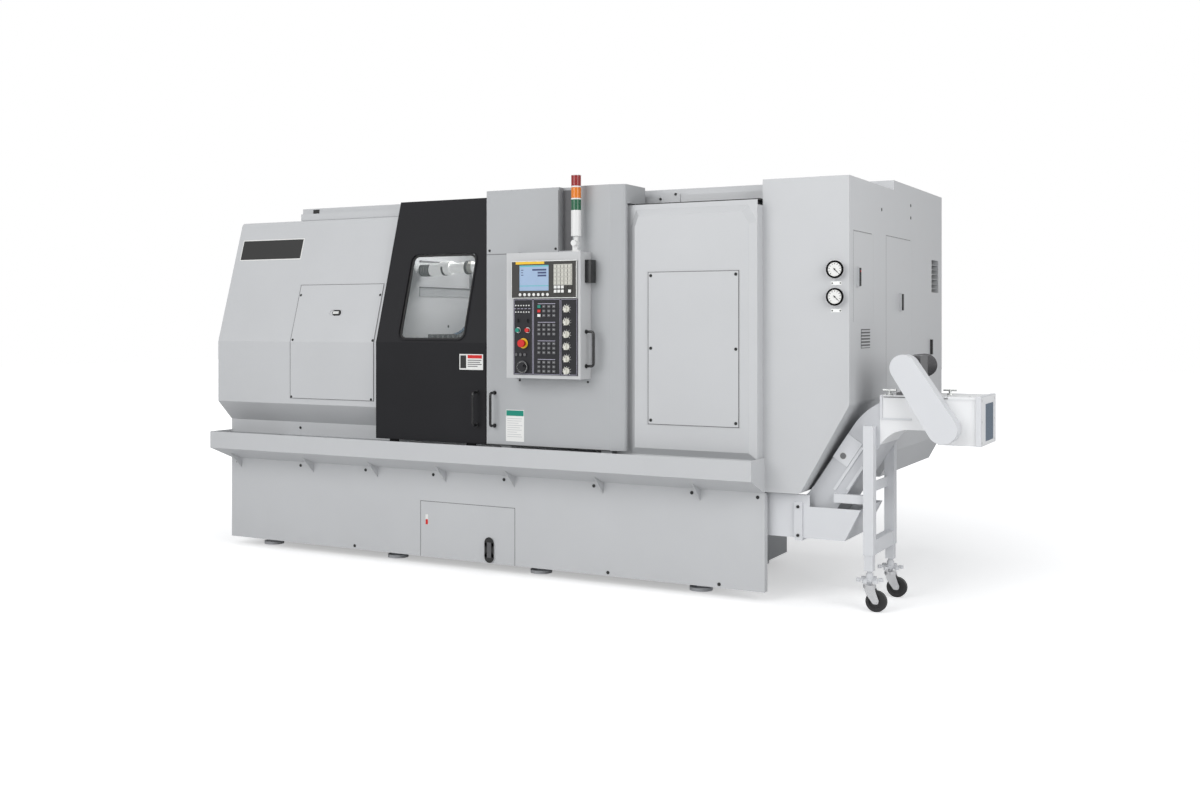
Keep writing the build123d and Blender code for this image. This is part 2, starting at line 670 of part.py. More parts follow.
def turret_disc():
    """The twelve-sided turret disc with its tool blocks and boring bars."""
    y, z = on_slope(DISC_S, SPINDLE_H)
    plane = Plane(origin=(1560, y, z), x_dir=(0, 1, 0), z_dir=(1, 0, 0))
    disc = extrude(plane * RegularPolygon(190, 12), amount=1664 - RUN_GAP - 1560)
    disc += rod_x(y, z, 40, 1600, 1790)
    axis = Axis((0, y, z), (1, 0, 0))
    for turn in range(0, 360, 60):
        tool = block(1575, 1635, y - 32, y + 32, z + 150, z + 236)
        tool += rod_x(y, z + 208, 16, 1500, 1576)
        disc += tool.rotate(axis, turn)
    return disc


def tailstock():
    """The tailstock body with the bore for its quill."""
    base = slope_block(2500, 2860, 60, 620, WAY_HEIGHT + RUN_GAP, 110)
    neck = slope_block(2520, 2840, 90, 400, 109, 260)
    barrel = rod_x(SPINDLE_Y, SPINDLE_Z, 105, 2480, 2860)
    return base + neck + barrel - rod_x(SPINDLE_Y, SPINDLE_Z, 60 + PIN_PLAY, 2479, 2861)


def quill():
    """The quill with its centre point."""
    body = rod_x(SPINDLE_Y, SPINDLE_Z, 60, 2440, 2850)
    cone_plane = Plane(origin=(2440, SPINDLE_Y, SPINDLE_Z), x_dir=(0, 1, 0), z_dir=(-1, 0, 0))
    return body + extrude(cone_plane * Circle(34), amount=55, taper=30)


def tank():
    """The coolant tank with its slanted end, its joint flange and the strip above it."""
    t = TANK_SHEET
    side = [
        (TROUGH_LEFT - 60, TANK_LOW),
        (TANK_END_LOW, TANK_LOW),
        (TANK_END_TOP, TANK_TOP - 10),
        (TROUGH_LEFT - 60, TANK_TOP - 10),
    ]
    hollow = [
        (TROUGH_LEFT - 60 + t, TANK_LOW + t),
        (TANK_END_LOW - t, TANK_LOW + t),
        (TANK_END_TOP - t, TANK_TOP),
        (TROUGH_LEFT - 60 + t, TANK_TOP),
    ]
    shell = along_y(side, TANK_FRONT, TANK_BACK)
    x0, x1 = TANK_FLANGE_X, TANK_FLANGE_X + TANK_FLANGE_WIDTH
    shell += block(x0, x1, TANK_FRONT - 12, TANK_FRONT, TANK_LOW - 12, TANK_TOP + 10)
    shell += block(x0, x1, TANK_FRONT - 12, TANK_BACK, TANK_LOW - 12, TANK_LOW)
    shell += block(CABINET_LEFT, 3730, TANK_FRONT, TANK_FRONT + t, TANK_TOP - 10, 536)
    return shell - along_y(hollow, TANK_FRONT + t, TANK_BACK - t)


def trough_path(start_x, start_z, end_x):
    """The conveyor's centre line: level in the base, up the incline, then level into the head."""
    bend = BEND_UNDERSIDE + TROUGH_DEPTH / 2
    y = TROUGH_FRONT + TROUGH_WIDTH / 2
    points = [(start_x, y, start_z), (INCLINE_LOW_X, y, start_z), (INCLINE_HIGH_X, y, TROUGH_HIGH_Z), (end_x, y, TROUGH_HIGH_Z)]
    return FilletPolyline(*points, radius=bend)


def trough_duct(width, depth, start_x, end_x):
    """A rectangular duct along the conveyor's centre line."""
    path = trough_path(start_x, TROUGH_AXIS_Z, end_x)
    y = TROUGH_FRONT + TROUGH_WIDTH / 2
    section = Plane(origin=(start_x, y, TROUGH_AXIS_Z), x_dir=(0, 1, 0), z_dir=(1, 0, 0)) * Rectangle(width, depth)
    return sweep(section, path=path)


def conveyor_trough():
    """The chip conveyor's trough: open on top in the base, a closed duct up the incline."""
    t = TROUGH_SHEET
    outer = trough_duct(TROUGH_WIDTH, TROUGH_DEPTH, TROUGH_LEFT, HEAD_RIGHT)
    inner = trough_duct(TROUGH_WIDTH - 2 * t, TROUGH_DEPTH - 2 * t, TROUGH_LEFT - 10, HEAD_RIGHT + 10)
    end = block(TROUGH_LEFT, TROUGH_LEFT + t, TROUGH_FRONT + 1, TROUGH_BACK - 1, TROUGH_AXIS_Z - 70, TROUGH_AXIS_Z + 70)
    lid = block(TROUGH_LEFT - 1, CASTING_RIGHT, TROUGH_FRONT + t, TROUGH_BACK - t, TROUGH_AXIS_Z + 60, TROUGH_AXIS_Z + 80)
    beyond = block(HEAD_LEFT, HEAD_RIGHT + 20, TROUGH_FRONT - 1, TROUGH_BACK + 1, TROUGH_AXIS_Z + 90, HEAD_TOP + 50)
    return outer - inner + end - lid - beyond


def head_outline(inset):
    """The discharge head's side outline, its lower left edge rounded as the trough bends."""
    bend_x = INCLINE_HIGH_X + 133.0
    centre_z = TROUGH_HIGH_Z - TROUGH_DEPTH / 2 - BEND_UNDERSIDE
    radius = BEND_UNDERSIDE + inset
    low_z = centre_z + sqrt(radius ** 2 - (bend_x - HEAD_LEFT) ** 2)
    mid = radians(118)
    arc = ThreePointArc(
        (HEAD_LEFT, low_z),
        (bend_x + radius * cos(mid), centre_z + radius * sin(mid)),
        (bend_x, centre_z + radius),
    )
    rest = Polyline(
        (bend_x, centre_z + radius),
        (HEAD_STEP_X + inset, centre_z + radius),
        (HEAD_STEP_X + inset, HEAD_LOW + inset),
        (HEAD_RIGHT - inset, HEAD_LOW + inset),
        (HEAD_RIGHT - inset, HEAD_TOP - inset),
        (HEAD_LEFT, HEAD_TOP - inset),
        (HEAD_LEFT, low_z),
    )
    return Plane.XZ * make_face([arc, rest])


def conveyor_head():
    """The discharge head: a sheet hood, open towards the trough and below its outer end."""
    t = HEAD_SHEET
    y = (TROUGH_FRONT + TROUGH_BACK) / 2
    hood = Pos(0, y, 0) * extrude(head_outline(0), amount=TROUGH_WIDTH / 2, both=True)
    room = Pos(0, y, 0) * extrude(head_outline(t), amount=TROUGH_WIDTH / 2 - t, both=True)
    chute = block(4400, HEAD_RIGHT - 12, TROUGH_FRONT + t, TROUGH_BACK - t, HEAD_LOW - 1, HEAD_LOW + t + 1)
    lip = block(4390, HEAD_RIGHT + 0, TROUGH_FRONT - 6, TROUGH_FRONT, HEAD_TOP - 12, HEAD_TOP)
    shaft = rod_y(GUARD_LOW_X, GUARD_LOW_Z, SHAFT_R + PIN_PLAY, TROUGH_FRONT - 1, TROUGH_BACK + 1)
    return hood - room - chute + lip - shaft


def stadium(x0, z0, r0, x1, z1, r1, y0, y1):
    """A rounded plate round two circles, along Y."""
    run = sqrt((x1 - x0) ** 2 + (z1 - z0) ** 2)
    ux, uz = (x1 - x0) / run, (z1 - z0) / run
    lift = (r0 - r1) / run
    side = sqrt(1 - lift ** 2)
    web = []
    for sign, order in ((1, 1), (-1, -1)):
        nx, nz = ux * lift - sign * uz * side, uz * lift + sign * ux * side
        pair = [(x0 + nx * r0, z0 + nz * r0), (x1 + nx * r1, z1 + nz * r1)]
        web += pair[::order]
    return along_y(web, y0, y1) + rod_y(x0, z0, r0, y0, y1) + rod_y(x1, z1, r1, y0, y1)


def chain_guard():
    """The chain guard, a closed rounded cover open at its back."""
    t = GUARD_SHEET
    back = TROUGH_FRONT - 2
    hood = stadium(GUARD_TOP_X, GUARD_TOP_Z, GUARD_TOP_R, GUARD_LOW_X, GUARD_LOW_Z, GUARD_LOW_R, GUARD_FRONT, back)
    room = stadium(
        GUARD_TOP_X, GUARD_TOP_Z, GUARD_TOP_R - t, GUARD_LOW_X, GUARD_LOW_Z, GUARD_LOW_R - t, GUARD_FRONT + t, back + 1
    )
    foot = block(GUARD_LOW_X - 40, GUARD_LOW_X + 40, back, TROUGH_FRONT, GUARD_LOW_Z + 60, GUARD_LOW_Z + 68)
    return hood - room + foot


def gear_motor():
    """The gear motor above the head, with its foot, gearbox, finned motor and shaft bore."""
    x, z = GUARD_TOP_X, GUARD_TOP_Z
    foot = block(x - 60, x + 60, 130, 290, HEAD_TOP, HEAD_TOP + 12)
    web = block(x - 45, x + 45, 150, 270, HEAD_TOP + 12, z - 30)
    gearbox = block(x - 55, x + 55, 130, 270, z - 55, z + 55)
    motor = rod_y(x, z, 55, 270, 450) + rod_y(x, z, 48, 450, 490)
    return foot + web + gearbox + motor - rod_y(x, z, SHAFT_R + PIN_PLAY, 129, 180)


def motor_sprocket():
    """The motor's shaft with the small chain wheel."""
    x, z = GUARD_TOP_X, GUARD_TOP_Z
    return rod_y(x, z, SHAFT_R, GUARD_FRONT + 24, 178) + rod_y(x, z, 40, GUARD_FRONT + 30, GUARD_FRONT + 42)


def head_shaft():
    """The head shaft with its chain wheel and the belt's two sprockets."""
    x, z = GUARD_LOW_X, GUARD_LOW_Z
    shaft = rod_y(x, z, SHAFT_R, GUARD_FRONT + 24, TROUGH_BACK + 12)
    wheel = rod_y(x, z, 52, GUARD_FRONT + 30, GUARD_FRONT + 42)
    for y in (TROUGH_FRONT + 50, TROUGH_BACK - 62):
        wheel += rod_y(x, z, 34, y, y + 12)
    return shaft + wheel


def stand():
    """The conveyor's stand: posts beside the trough, cross bars, telescopic legs and their screws."""
    x0, x1 = POST_X, POST_X + POST_SIZE
    xc = (x0 + x1) / 2
    frame = None
    for y0 in (TROUGH_FRONT - POST_SIZE, TROUGH_BACK):
        y1 = y0 + POST_SIZE
        yc = (y0 + y1) / 2
        half = LEG_SIZE / 2
        post = block(x0, x1, y0, y1, POST_LOW, POST_TOP)
        post += block(xc - half, xc + half, yc - half, yc + half, LEG_LOW, POST_LOW)
        post += rod_z(xc, yc, SCREW_R, FORK_TOP + RUN_GAP, LEG_LOW)
        post += rod_z(xc, yc, SWIVEL_R, FORK_TOP - 14, FORK_TOP + RUN_GAP)
        post += rod_z(xc, yc, 18, STAR_LOW + STAR_THICK, STAR_LOW + STAR_THICK + 22)
        frame = post if frame is None else frame + post
    frame += block(x0 + 4, x1 - 4, TROUGH_FRONT, TROUGH_BACK, POST_LOW, POST_LOW + 70)
    frame += block(x0 + 10, x0 + 15, TROUGH_FRONT, TROUGH_BACK, 556, 606)
    frame += block(3850, x0, TROUGH_FRONT - 34, TROUGH_FRONT, 508, 550)
    return frame


def star_handles():
    """Two star handles on the levelling screws."""
    stars = []
    xc = POST_X + POST_SIZE / 2
    for y in (TROUGH_FRONT - POST_SIZE / 2, TROUGH_BACK + POST_SIZE / 2):
        star = rod_z(xc, y, 26, STAR_LOW, STAR_LOW + STAR_THICK)
        arm = block(xc - STAR_R + 10, xc + STAR_R - 10, y - 7, y + 7, STAR_LOW + 3, STAR_LOW + 13)
        for turn in (20, 80, 140):
            star += arm.rotate(Axis((xc, y, 0), (0, 0, 1)), turn)
        for turn in range(0, 360, 60):
            a = radians(turn + 20)
            star += rod_z(xc + (STAR_R - 11) * cos(a), y + (STAR_R - 11) * sin(a), 11, STAR_LOW, STAR_LOW + STAR_THICK)
        stars.append(star)
    return stars


def caster_fork(y):
    """A swivel fork with its axle."""
    xc = POST_X + POST_SIZE / 2
    top = rod_z(xc, y, 30, FORK_TOP - 16, FORK_TOP)
    top -= rod_z(xc, y, SWIVEL_R + PIN_PLAY, FORK_TOP - 17, FORK_TOP + 1)
    half = WHEEL_WIDTH / 2 + 1.5
    cheek = [
        (xc - 26, FORK_TOP - 10),
        (xc + 26, FORK_TOP - 10),
        (xc + WHEEL_TRAIL + 16, WHEEL_R + 6),
        (xc + WHEEL_TRAIL + 12, WHEEL_R - 12),
        (xc + WHEEL_TRAIL - 12, WHEEL_R - 12),
        (xc - 14, WHEEL_R + 34),
    ]
    fork = top + block(xc - 22, xc + 24, y - half, y + half, FORK_TOP - 22, FORK_TOP - 10)
    fork -= rod_z(xc, y, SWIVEL_R + PIN_PLAY, FORK_TOP - 24, FORK_TOP + 1)
    for side in (-1, 1):
        near = y + side * half
        far = y + side * (half + 4)
        fork += along_y(cheek, min(near, far), max(near, far), {3: 10, 4: 10})
    return fork + rod_y(xc + WHEEL_TRAIL, WHEEL_R, AXLE_R, y - half - 8, y + half + 8)


def caster_wheel(y):
    """A caster wheel with its hub."""
    x = POST_X + POST_SIZE / 2 + WHEEL_TRAIL
    half = WHEEL_WIDTH / 2
    tyre = rod_y(x, WHEEL_R, WHEEL_R, y - half, y + half)
    tyre -= rod_y(x, WHEEL_R, 34, y - half - 1, y - half + 6)
    tyre -= rod_y(x, WHEEL_R, 34, y + half - 6, y + half + 1)
    tyre += rod_y(x, WHEEL_R, 14, y - half - 1, y + half + 1)
    return tyre - rod_y(x, WHEEL_R, AXLE_R + PIN_PLAY, y - half - 2, y + half + 2)


def stem_hole(x, z, radius):
    """The hole for a control's stem, through the panel and into the box."""
    return rod_y(x, z, radius + PIN_PLAY, -BOX_FRONT - 10, -BOX_FRONT + STEM_DEPTH + 1)


def all_stem_holes():
    """Every control's stem hole."""
    holes = [stem_hole(KNOB_X, z, STEM_R) for z in KNOB_Z]
    holes += [stem_hole(x, START_Z, STEM_R) for x in (START_X, HOLD_X)]
    holes.append(stem_hole(STOP_X, STOP_Z, STEM_R))
    holes.append(stem_hole(DIAL_X, DIAL_Z, STEM_R))
    return holes


def hinge_pin(z0, z1):
    """A pivot of the operator box."""
    return rod_z(HINGE_X, HINGE_Y, HINGE_R, z0, z1)


def operator_box():
    """The operator box with the holes for its controls and its two pivots."""
    box = block(BOX_LEFT, BOX_RIGHT, -BOX_FRONT, -DOOR_FACE - BOX_GAP, BOX_LOW, BOX_TOP)
    upright = box.edges().filter_by(Axis.Z)
    hinge_edge = upright.group_by(Axis.Y)[-1].group_by(Axis.X)[0]
    box = fillet(hinge_edge, HINGE_INSET)
    box = fillet(box.edges().filter_by(Axis.Z).group_by(Axis.Y)[0], 6)
    for hole in all_stem_holes():
        box -= hole
    for z0, z1 in ((BOX_LOW - 1, BOX_LOW + 24), (BOX_TOP - 24, BOX_TOP + 1)):
        box -= rod_z(HINGE_X, HINGE_Y, HINGE_R + PIN_PLAY, z0, z1)
    return box


def pivot_brackets():
    """The two brackets on the door that the operator box swings on."""
    x = HINGE_X
    brackets = []
    for z0, z1, p0, p1 in (
        (BOX_LOW - 9, BOX_LOW - RUN_GAP, BOX_LOW - 2, BOX_LOW + 22),
        (BOX_TOP + RUN_GAP, BOX_TOP + 9, BOX_TOP - 22, BOX_TOP + 2),
    ):
        ear = block(x - 14, x + 14, -DOOR_FACE - 30, -DOOR_FACE, z0, z1)
        brackets.append(ear + hinge_pin(p0, p1))
    return brackets


def display_unit():
    """The display unit: a bezel with the screen's recess, soft keys and the keypad."""
    unit = block(2225, 2609, -UNIT_FACE, -BOX_FRONT, 1506, 1695)
    unit -= block(2269, 2447, -UNIT_FACE - 1, -UNIT_FACE + 4, 1542, 1676)
    unit += block(2477, 2588, -UNIT_FACE - 2, -UNIT_FACE, 1526, 1678)
    for index in range(7):
        x = 2277 + index * 27.5
        unit += block(x - 6, x + 6, -UNIT_FACE - 2, -UNIT_FACE, 1518, 1528)
    for row in range(7):
        for column in range(5):
            x = 2481 + column * 21
            z = 1531 + row * 21
            unit += block(x, x + 17, -UNIT_FACE - 5, -UNIT_FACE - 2, z, z + 16)
    return unit


def operator_panel():
    """The lower panel with its key field, lamps and switches, and the holes for the turning controls."""
    face = -PANEL_FACE
    panel = block(2233, 2615, face, -BOX_FRONT, 1108, 1501)
    for group in range(4):
        for row in range(3):
            for column in range(4):
                x = 2389 + column * 29.6
                z = 1461 - group * 95.5 - row * 23
                panel += block(x - 10, x + 10, face - 3, face, z - 8, z + 8)
    for row in range(2):
        for column in range(6):
            x = 2248 + column * 16
            panel += block(x - 3, x + 3, face - 1.5, face, 1464 - row * 34, 1470 - row * 34)
    for x in (2262, 2320):
        panel += rod_y(x, 1386, 8, face - 3, face) + block(x - 2.5, x + 2.5, face - 12, face - 3, 1380, 1398)
    for x in (2252, 2278, 2304):
        panel += rod_y(x, 1212, 9, face - 5, face)
    panel += rod_y(STOP_X, STOP_Z, 26, face - 4, face)
    for hole in all_stem_holes():
        panel -= hole
    return panel


def push_button(x, z, radius, lift, travel):
    """A push button: a cap that stands clear of the panel by its travel, on a stem in its hole."""
    face = -PANEL_FACE
    cap = rod_y(x, z, radius, face - lift - 10, face - lift)
    return cap + rod_y(x, z, STEM_R, face - lift, -BOX_FRONT + STEM_DEPTH - travel - 2)


def stop_button():
    """The mushroom emergency stop."""
    face = -PANEL_FACE
    cap = rod_y(STOP_X, STOP_Z, 20, face - 32, face - 20) + rod_y(STOP_X, STOP_Z, 13, face - 20, face - 10)
    return cap + rod_y(STOP_X, STOP_Z, STEM_R, face - 10, -BOX_FRONT + STEM_DEPTH - 8)


def rotary_knob(z):
    """A rotary knob with a raised pointer bar."""
    face = -PANEL_FACE
    knob = rod_y(KNOB_X, z, KNOB_R, face - 9, face - RUN_GAP)
    knob += block(KNOB_X - 5, KNOB_X + 5, face - 21, face - 8, z - KNOB_R + 1, z + KNOB_R - 1)
    return knob + rod_y(KNOB_X, z, STEM_R, face - 1, -BOX_FRONT + STEM_DEPTH - 2)


def pulse_dial():
    """The handwheel dial with its crank grip."""
    face = -PANEL_FACE
    dial = rod_y(DIAL_X, DIAL_Z, DIAL_R, face - 12, face - RUN_GAP)
    dial += rod_y(DIAL_X, DIAL_Z, DIAL_R - 9, face - 18, face - 11)
    dial += rod_y(DIAL_X + 13, DIAL_Z + 8, 6, face - 34, face - 17)
    return dial + rod_y(DIAL_X, DIAL_Z, STEM_R, face - 1, -BOX_FRONT + STEM_DEPTH - 2)


def port_cover():
    """The black port cover on the operator box's side."""
    return block(BOX_RIGHT, BOX_RIGHT + 34, -215, -160, 1581, 1699)


def tower_foot():
    """The signal tower's foot with one ear, the pivot pin and the clamp knob."""
    y = TOWER_Y
    foot = rod_z(TOWER_X, y, 22, BOX_TOP, BOX_TOP + 10)
    foot += block(TOWER_X - 14, TOWER_X + 14, y - 14, y - 4, BOX_TOP + 9, TOWER_PIVOT_Z)
    foot += rod_y(TOWER_X, TOWER_PIVOT_Z, 14, y - 14, y - 4)
    foot += rod_y(TOWER_X, TOWER_PIVOT_Z, 6, y - 15, y + 10)
    return foot + rod_y(TOWER_X, TOWER_PIVOT_Z, 15, y - 30, y - 14)


def tower_pole():
    """The tower's pole: the eye on the pivot, the neck, the white body, the rings between lenses and the cap."""
    y = TOWER_Y
    eye = rod_y(TOWER_X, TOWER_PIVOT_Z, 14, y - 4 + RUN_GAP, y + 10) + block(
        TOWER_X - 10, TOWER_X + 10, y - 4 + RUN_GAP, y + 10, TOWER_PIVOT_Z, 1822
    )
    eye -= rod_y(TOWER_X, TOWER_PIVOT_Z, 6 + PIN_PLAY, y - 5, y + 11)
    pole = eye + rod_z(TOWER_X, y, LENS_R, 1821, 1953)
    pole += rod_z(TOWER_X, y, 10, 1952, 2134)
    for z in (2008, 2070):
        pole += rod_z(TOWER_X, y, LENS_R, z, z + 7)
    return pole + rod_z(TOWER_X, y, LENS_R, 2131, 2134)


def tower_lenses():
    """The three lenses, rings round the pole."""
    lenses = []
    for z0, z1 in ((1953, 2008), (2015, 2070), (2077, 2131)):
        lenses.append(rod_z(TOWER_X, TOWER_Y, LENS_R - 0.5, z0, z1) - rod_z(TOWER_X, TOWER_Y, 10, z0 - 1, z1 + 1))
    return Compound(lenses)


def work_lamp():
    """The tubular work lamp inside, with its end rings and bracket."""
    y, z = 300.0, 1700.0
    tube = rod_x(y, z, 30, PARTITION_X, 1900)
    return tube + rod_x(y, z, 40, 1380, 1450)


parts["base_frame"] = base_frame()
parts["levelling_feet"] = levelling_feet()
parts["skirt"] = skirt()
parts["service_panel"] = service_panel()
parts["drip_tray"] = drip_tray()
parts["left_cover"] = left_cover()
parts["access_plates"] = access_plates()
parts["body_guard"] = body_guard()
parts["right_panel"] = right_panel()
parts["black_door"] = black_door() + door_guides(BLACK_LEFT, BLACK_RIGHT)
parts["door_window"] = door_window()
parts["black_door_handle"] = Pos(BLACK_HANDLE_X, -DOOR_FACE, HANDLE_Z) * d_handle(HANDLE_LENGTH, HANDLE_REACH, HANDLE_ROD)
parts["grey_door"] = grey_door() + door_guides(GREY_LEFT, GREY_RIGHT) + pivot_brackets()
parts["grey_door_handle"] = Pos(GREY_HANDLE_X, -DOOR_FACE, HANDLE_Z) * d_handle(HANDLE_LENGTH, HANDLE_REACH, HANDLE_ROD)
parts["cabinet"] = cabinet()
parts["cabinet_door_front"] = cabinet_door(*CABINET_DOORS["cabinet_door_front"][:4], 130, 1600)
parts["cabinet_door_rear"] = cabinet_door(*CABINET_DOORS["cabinet_door_rear"][:4], 917, 1488)
parts["pressure_gauges"] = pressure_gauges()
parts["headstock"] = headstock()
parts["spindle"] = spindle() + chuck_body()
for number, turn in enumerate((0, 120, 240), start=1):
    parts[f"chuck_jaw_{number}"] = chuck_jaw(turn)
parts["slant_bed"] = slant_bed()
parts["carriage"] = carriage()
parts["cross_slide"] = cross_slide()
parts["turret_disc"] = turret_disc()
parts["tailstock"] = tailstock()
parts["quill"] = quill()
parts["work_lamp"] = work_lamp()
parts["coolant_tank"] = tank()
parts["conveyor_trough"] = conveyor_trough()
parts["conveyor_head"] = conveyor_head()
parts["chain_guard"] = chain_guard()
parts["gear_motor"] = gear_motor()
parts["motor_sprocket"] = motor_sprocket()
parts["head_shaft"] = head_shaft()
parts["conveyor_stand"] = stand() + star_handles()
for name, y in (("front", TROUGH_FRONT - POST_SIZE / 2), ("rear", TROUGH_BACK + POST_SIZE / 2)):
    parts[f"caster_fork_{name}"] = caster_fork(y)
    parts[f"caster_wheel_{name}"] = caster_wheel(y)
parts["operator_box"] = operator_box()
parts["display_unit"] = display_unit()
parts["operator_panel"] = operator_panel()
parts["stop_button"] = stop_button()
parts["start_button"] = push_button(START_X, START_Z, 11, 5, 4)
parts["hold_button"] = push_button(HOLD_X, START_Z, 11, 5, 4)
for number, z in enumerate(KNOB_Z, start=1):
    parts[f"rotary_knob_{number}"] = rotary_knob(z)
parts["pulse_dial"] = pulse_dial()
parts["box_handle"] = Pos(BOX_RIGHT, -205, 1244) * Rot(0, 0, 90) * d_handle(HANDLE_LENGTH, HANDLE_REACH, HANDLE_ROD)
parts["port_cover"] = port_cover()
parts["tower_foot"] = tower_foot()
parts["tower_pole"] = tower_pole()
parts["tower_lenses"] = tower_lenses()

# The row's origin is the bottom centre of the whole machine.
boxes = [part.bounding_box() for part in parts.values()]
low_x = min(b.min.X for b in boxes)
high_x = max(b.max.X for b in boxes)
low_y = min(b.min.Y for b in boxes)
high_y = max(b.max.Y for b in boxes)
SHIFT = (-(low_x + high_x) / 2, -(low_y + high_y) / 2, 0.0)

os.makedirs("parts", exist_ok=True)
for node, part in parts.items():
    export_step(Pos(*SHIFT) * part, f"parts/{node}.step")
print("nodes", len(parts), "shift", [round(v, 3) for v in SHIFT])
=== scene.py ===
# %% [markdown]
# A turning lathe spins a workpiece in a chuck and cuts it with tools on slides, all of it behind sheet-metal doors.
# The rigid machine comes from a CAD model, which is loaded here as a frame: every part is in place
# and is never moved.
# It could be modelled again in Blender, but then the doors and slides would no longer agree with the drawing.
# This notebook gives that frame its studio, its finishes and its small fittings.
# %% Load the frame
import json
from math import atan2, cos, pi, radians, sin

import bmesh
import bpy
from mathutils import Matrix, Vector


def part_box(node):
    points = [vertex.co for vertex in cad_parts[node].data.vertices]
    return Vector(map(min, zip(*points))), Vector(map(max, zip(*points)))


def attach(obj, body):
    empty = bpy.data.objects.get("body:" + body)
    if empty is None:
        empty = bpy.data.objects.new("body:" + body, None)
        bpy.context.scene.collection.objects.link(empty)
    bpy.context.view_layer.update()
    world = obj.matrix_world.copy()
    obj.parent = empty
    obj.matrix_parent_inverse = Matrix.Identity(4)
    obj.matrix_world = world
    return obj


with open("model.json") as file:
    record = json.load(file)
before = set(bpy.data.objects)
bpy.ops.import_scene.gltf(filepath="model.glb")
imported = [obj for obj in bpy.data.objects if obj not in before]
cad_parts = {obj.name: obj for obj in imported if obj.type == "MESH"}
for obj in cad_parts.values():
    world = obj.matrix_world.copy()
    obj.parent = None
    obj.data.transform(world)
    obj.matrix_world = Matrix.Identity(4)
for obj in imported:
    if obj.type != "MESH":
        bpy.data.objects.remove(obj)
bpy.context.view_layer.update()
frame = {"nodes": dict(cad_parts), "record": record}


# %% [markdown]
# Machine builders measure a machine in millimetres from one corner.
# Every place below is given from the skirt's left front corner at the floor: X to the right, Y to the back, Z up.
# Metres would work too, but a fitting is easier to check against a drawing in millimetres, so one function converts.
# %% The machine's own ruler
MM = 0.001
skirt_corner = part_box("skirt")[0]


def spot(x, y, z):
    """A place in millimetres from the skirt's left front corner at the floor."""
    return Vector((skirt_corner.x + x * MM, skirt_corner.y + y * MM, z * MM))


print("ruler starts at", tuple(round(v, 3) for v in spot(0, 0, 0)))


# %% [markdown]
# The photograph was taken from the front right with a normal lens, level with an operator's chest.
# The camera could be tilted down to put the machine in the middle, but then its uprights would lean together.
# A level camera keeps them upright, and a small lens shift moves the machine to where the picture has it.
# %% Camera
PICTURE_WIDE = 1200
LENS_IN_PIXELS = 1265.84
HORIZON_ABOVE_MIDDLE = 79
SENSOR_WIDE = 36.0
CAMERA_PLACE = spot(5744.66, -5870.34, 1386.59)
CAMERA_TURN = 0.491567
CAMERA_REACH = 60.0

camera_data = bpy.data.cameras.new("studio_camera")
camera_data.sensor_width = SENSOR_WIDE
camera_data.lens = LENS_IN_PIXELS / PICTURE_WIDE * SENSOR_WIDE
camera_data.shift_y = -HORIZON_ABOVE_MIDDLE / PICTURE_WIDE
camera_data.clip_end = CAMERA_REACH
camera = bpy.data.objects.new("studio_camera", camera_data)
camera.location = CAMERA_PLACE
camera.rotation_euler = (radians(90), 0, CAMERA_TURN)
bpy.context.scene.collection.objects.link(camera)
bpy.context.scene.camera = camera
print("lens", round(camera_data.lens, 2), "mm")


# %% [markdown]
# A product studio lights a machine with a few large soft lamps, because small ones draw hard shadows and hot spots.
# One wide lamp stands in front and a little to the left, so the front faces are light and the right
# end is a step darker.
# A second one fills that end, a third lies over the roof, and a small one hangs in the work room for the window.
# Area lamps were chosen over a sun or points, since their size is what makes the shadows soft.
# %% Studio lamps
def soft_lamp(name, place, target, size, power):
    """A large square lamp that faces a target."""
    data = bpy.data.lights.new(name, "AREA")
    data.shape = "SQUARE"
    data.size = size
    data.energy = power
    lamp = bpy.data.objects.new(name, data)
    lamp.location = place
    lamp.rotation_euler = (target - place).to_track_quat("-Z", "Y").to_euler()
    bpy.context.scene.collection.objects.link(lamp)


machine_middle = spot(2200, 600, 1000)
right_end = spot(3900, 600, 1200)
work_room_wall = spot(1206, 600, 1450)
soft_lamp("front_lamp", spot(600, -6500, 4200), machine_middle, 5.0, 248)
soft_lamp("right_lamp", spot(7600, -2300, 2500), right_end, 3.0, 92)
soft_lamp("top_lamp", spot(2200, 300, 6500), machine_middle, 5.0, 60)
soft_lamp("work_light", spot(1700, 420, 1880), work_room_wall, 0.2, 3.7)
print("lamps", len(bpy.data.lights))


# %% [markdown]
# Materials and the sky are small machines of their own, made of nodes that are wired together.
# Each node could be added and filled in line by line, which is long and hides the idea.
# One helper adds a node and fills its sockets, and another lays the wires, so that a recipe reads like a list.
# %% Helpers for node trees
def new_node(tree, kind, operation=None, **sockets):
    """Adds a node and fills its sockets; an underscore in a socket's name stands for a space."""
    node = tree.nodes.new(kind)
    if operation:
        node.operation = operation
    for socket, value in sockets.items():
        node.inputs[socket.replace("_", " ")].default_value = value
    return node


def wire(tree, *ends):
    """Lays wires, each given as the socket it leaves and the socket it reaches."""
    for leaves, reaches in ends:
        tree.links.new(leaves, reaches)


print("node helpers ready")


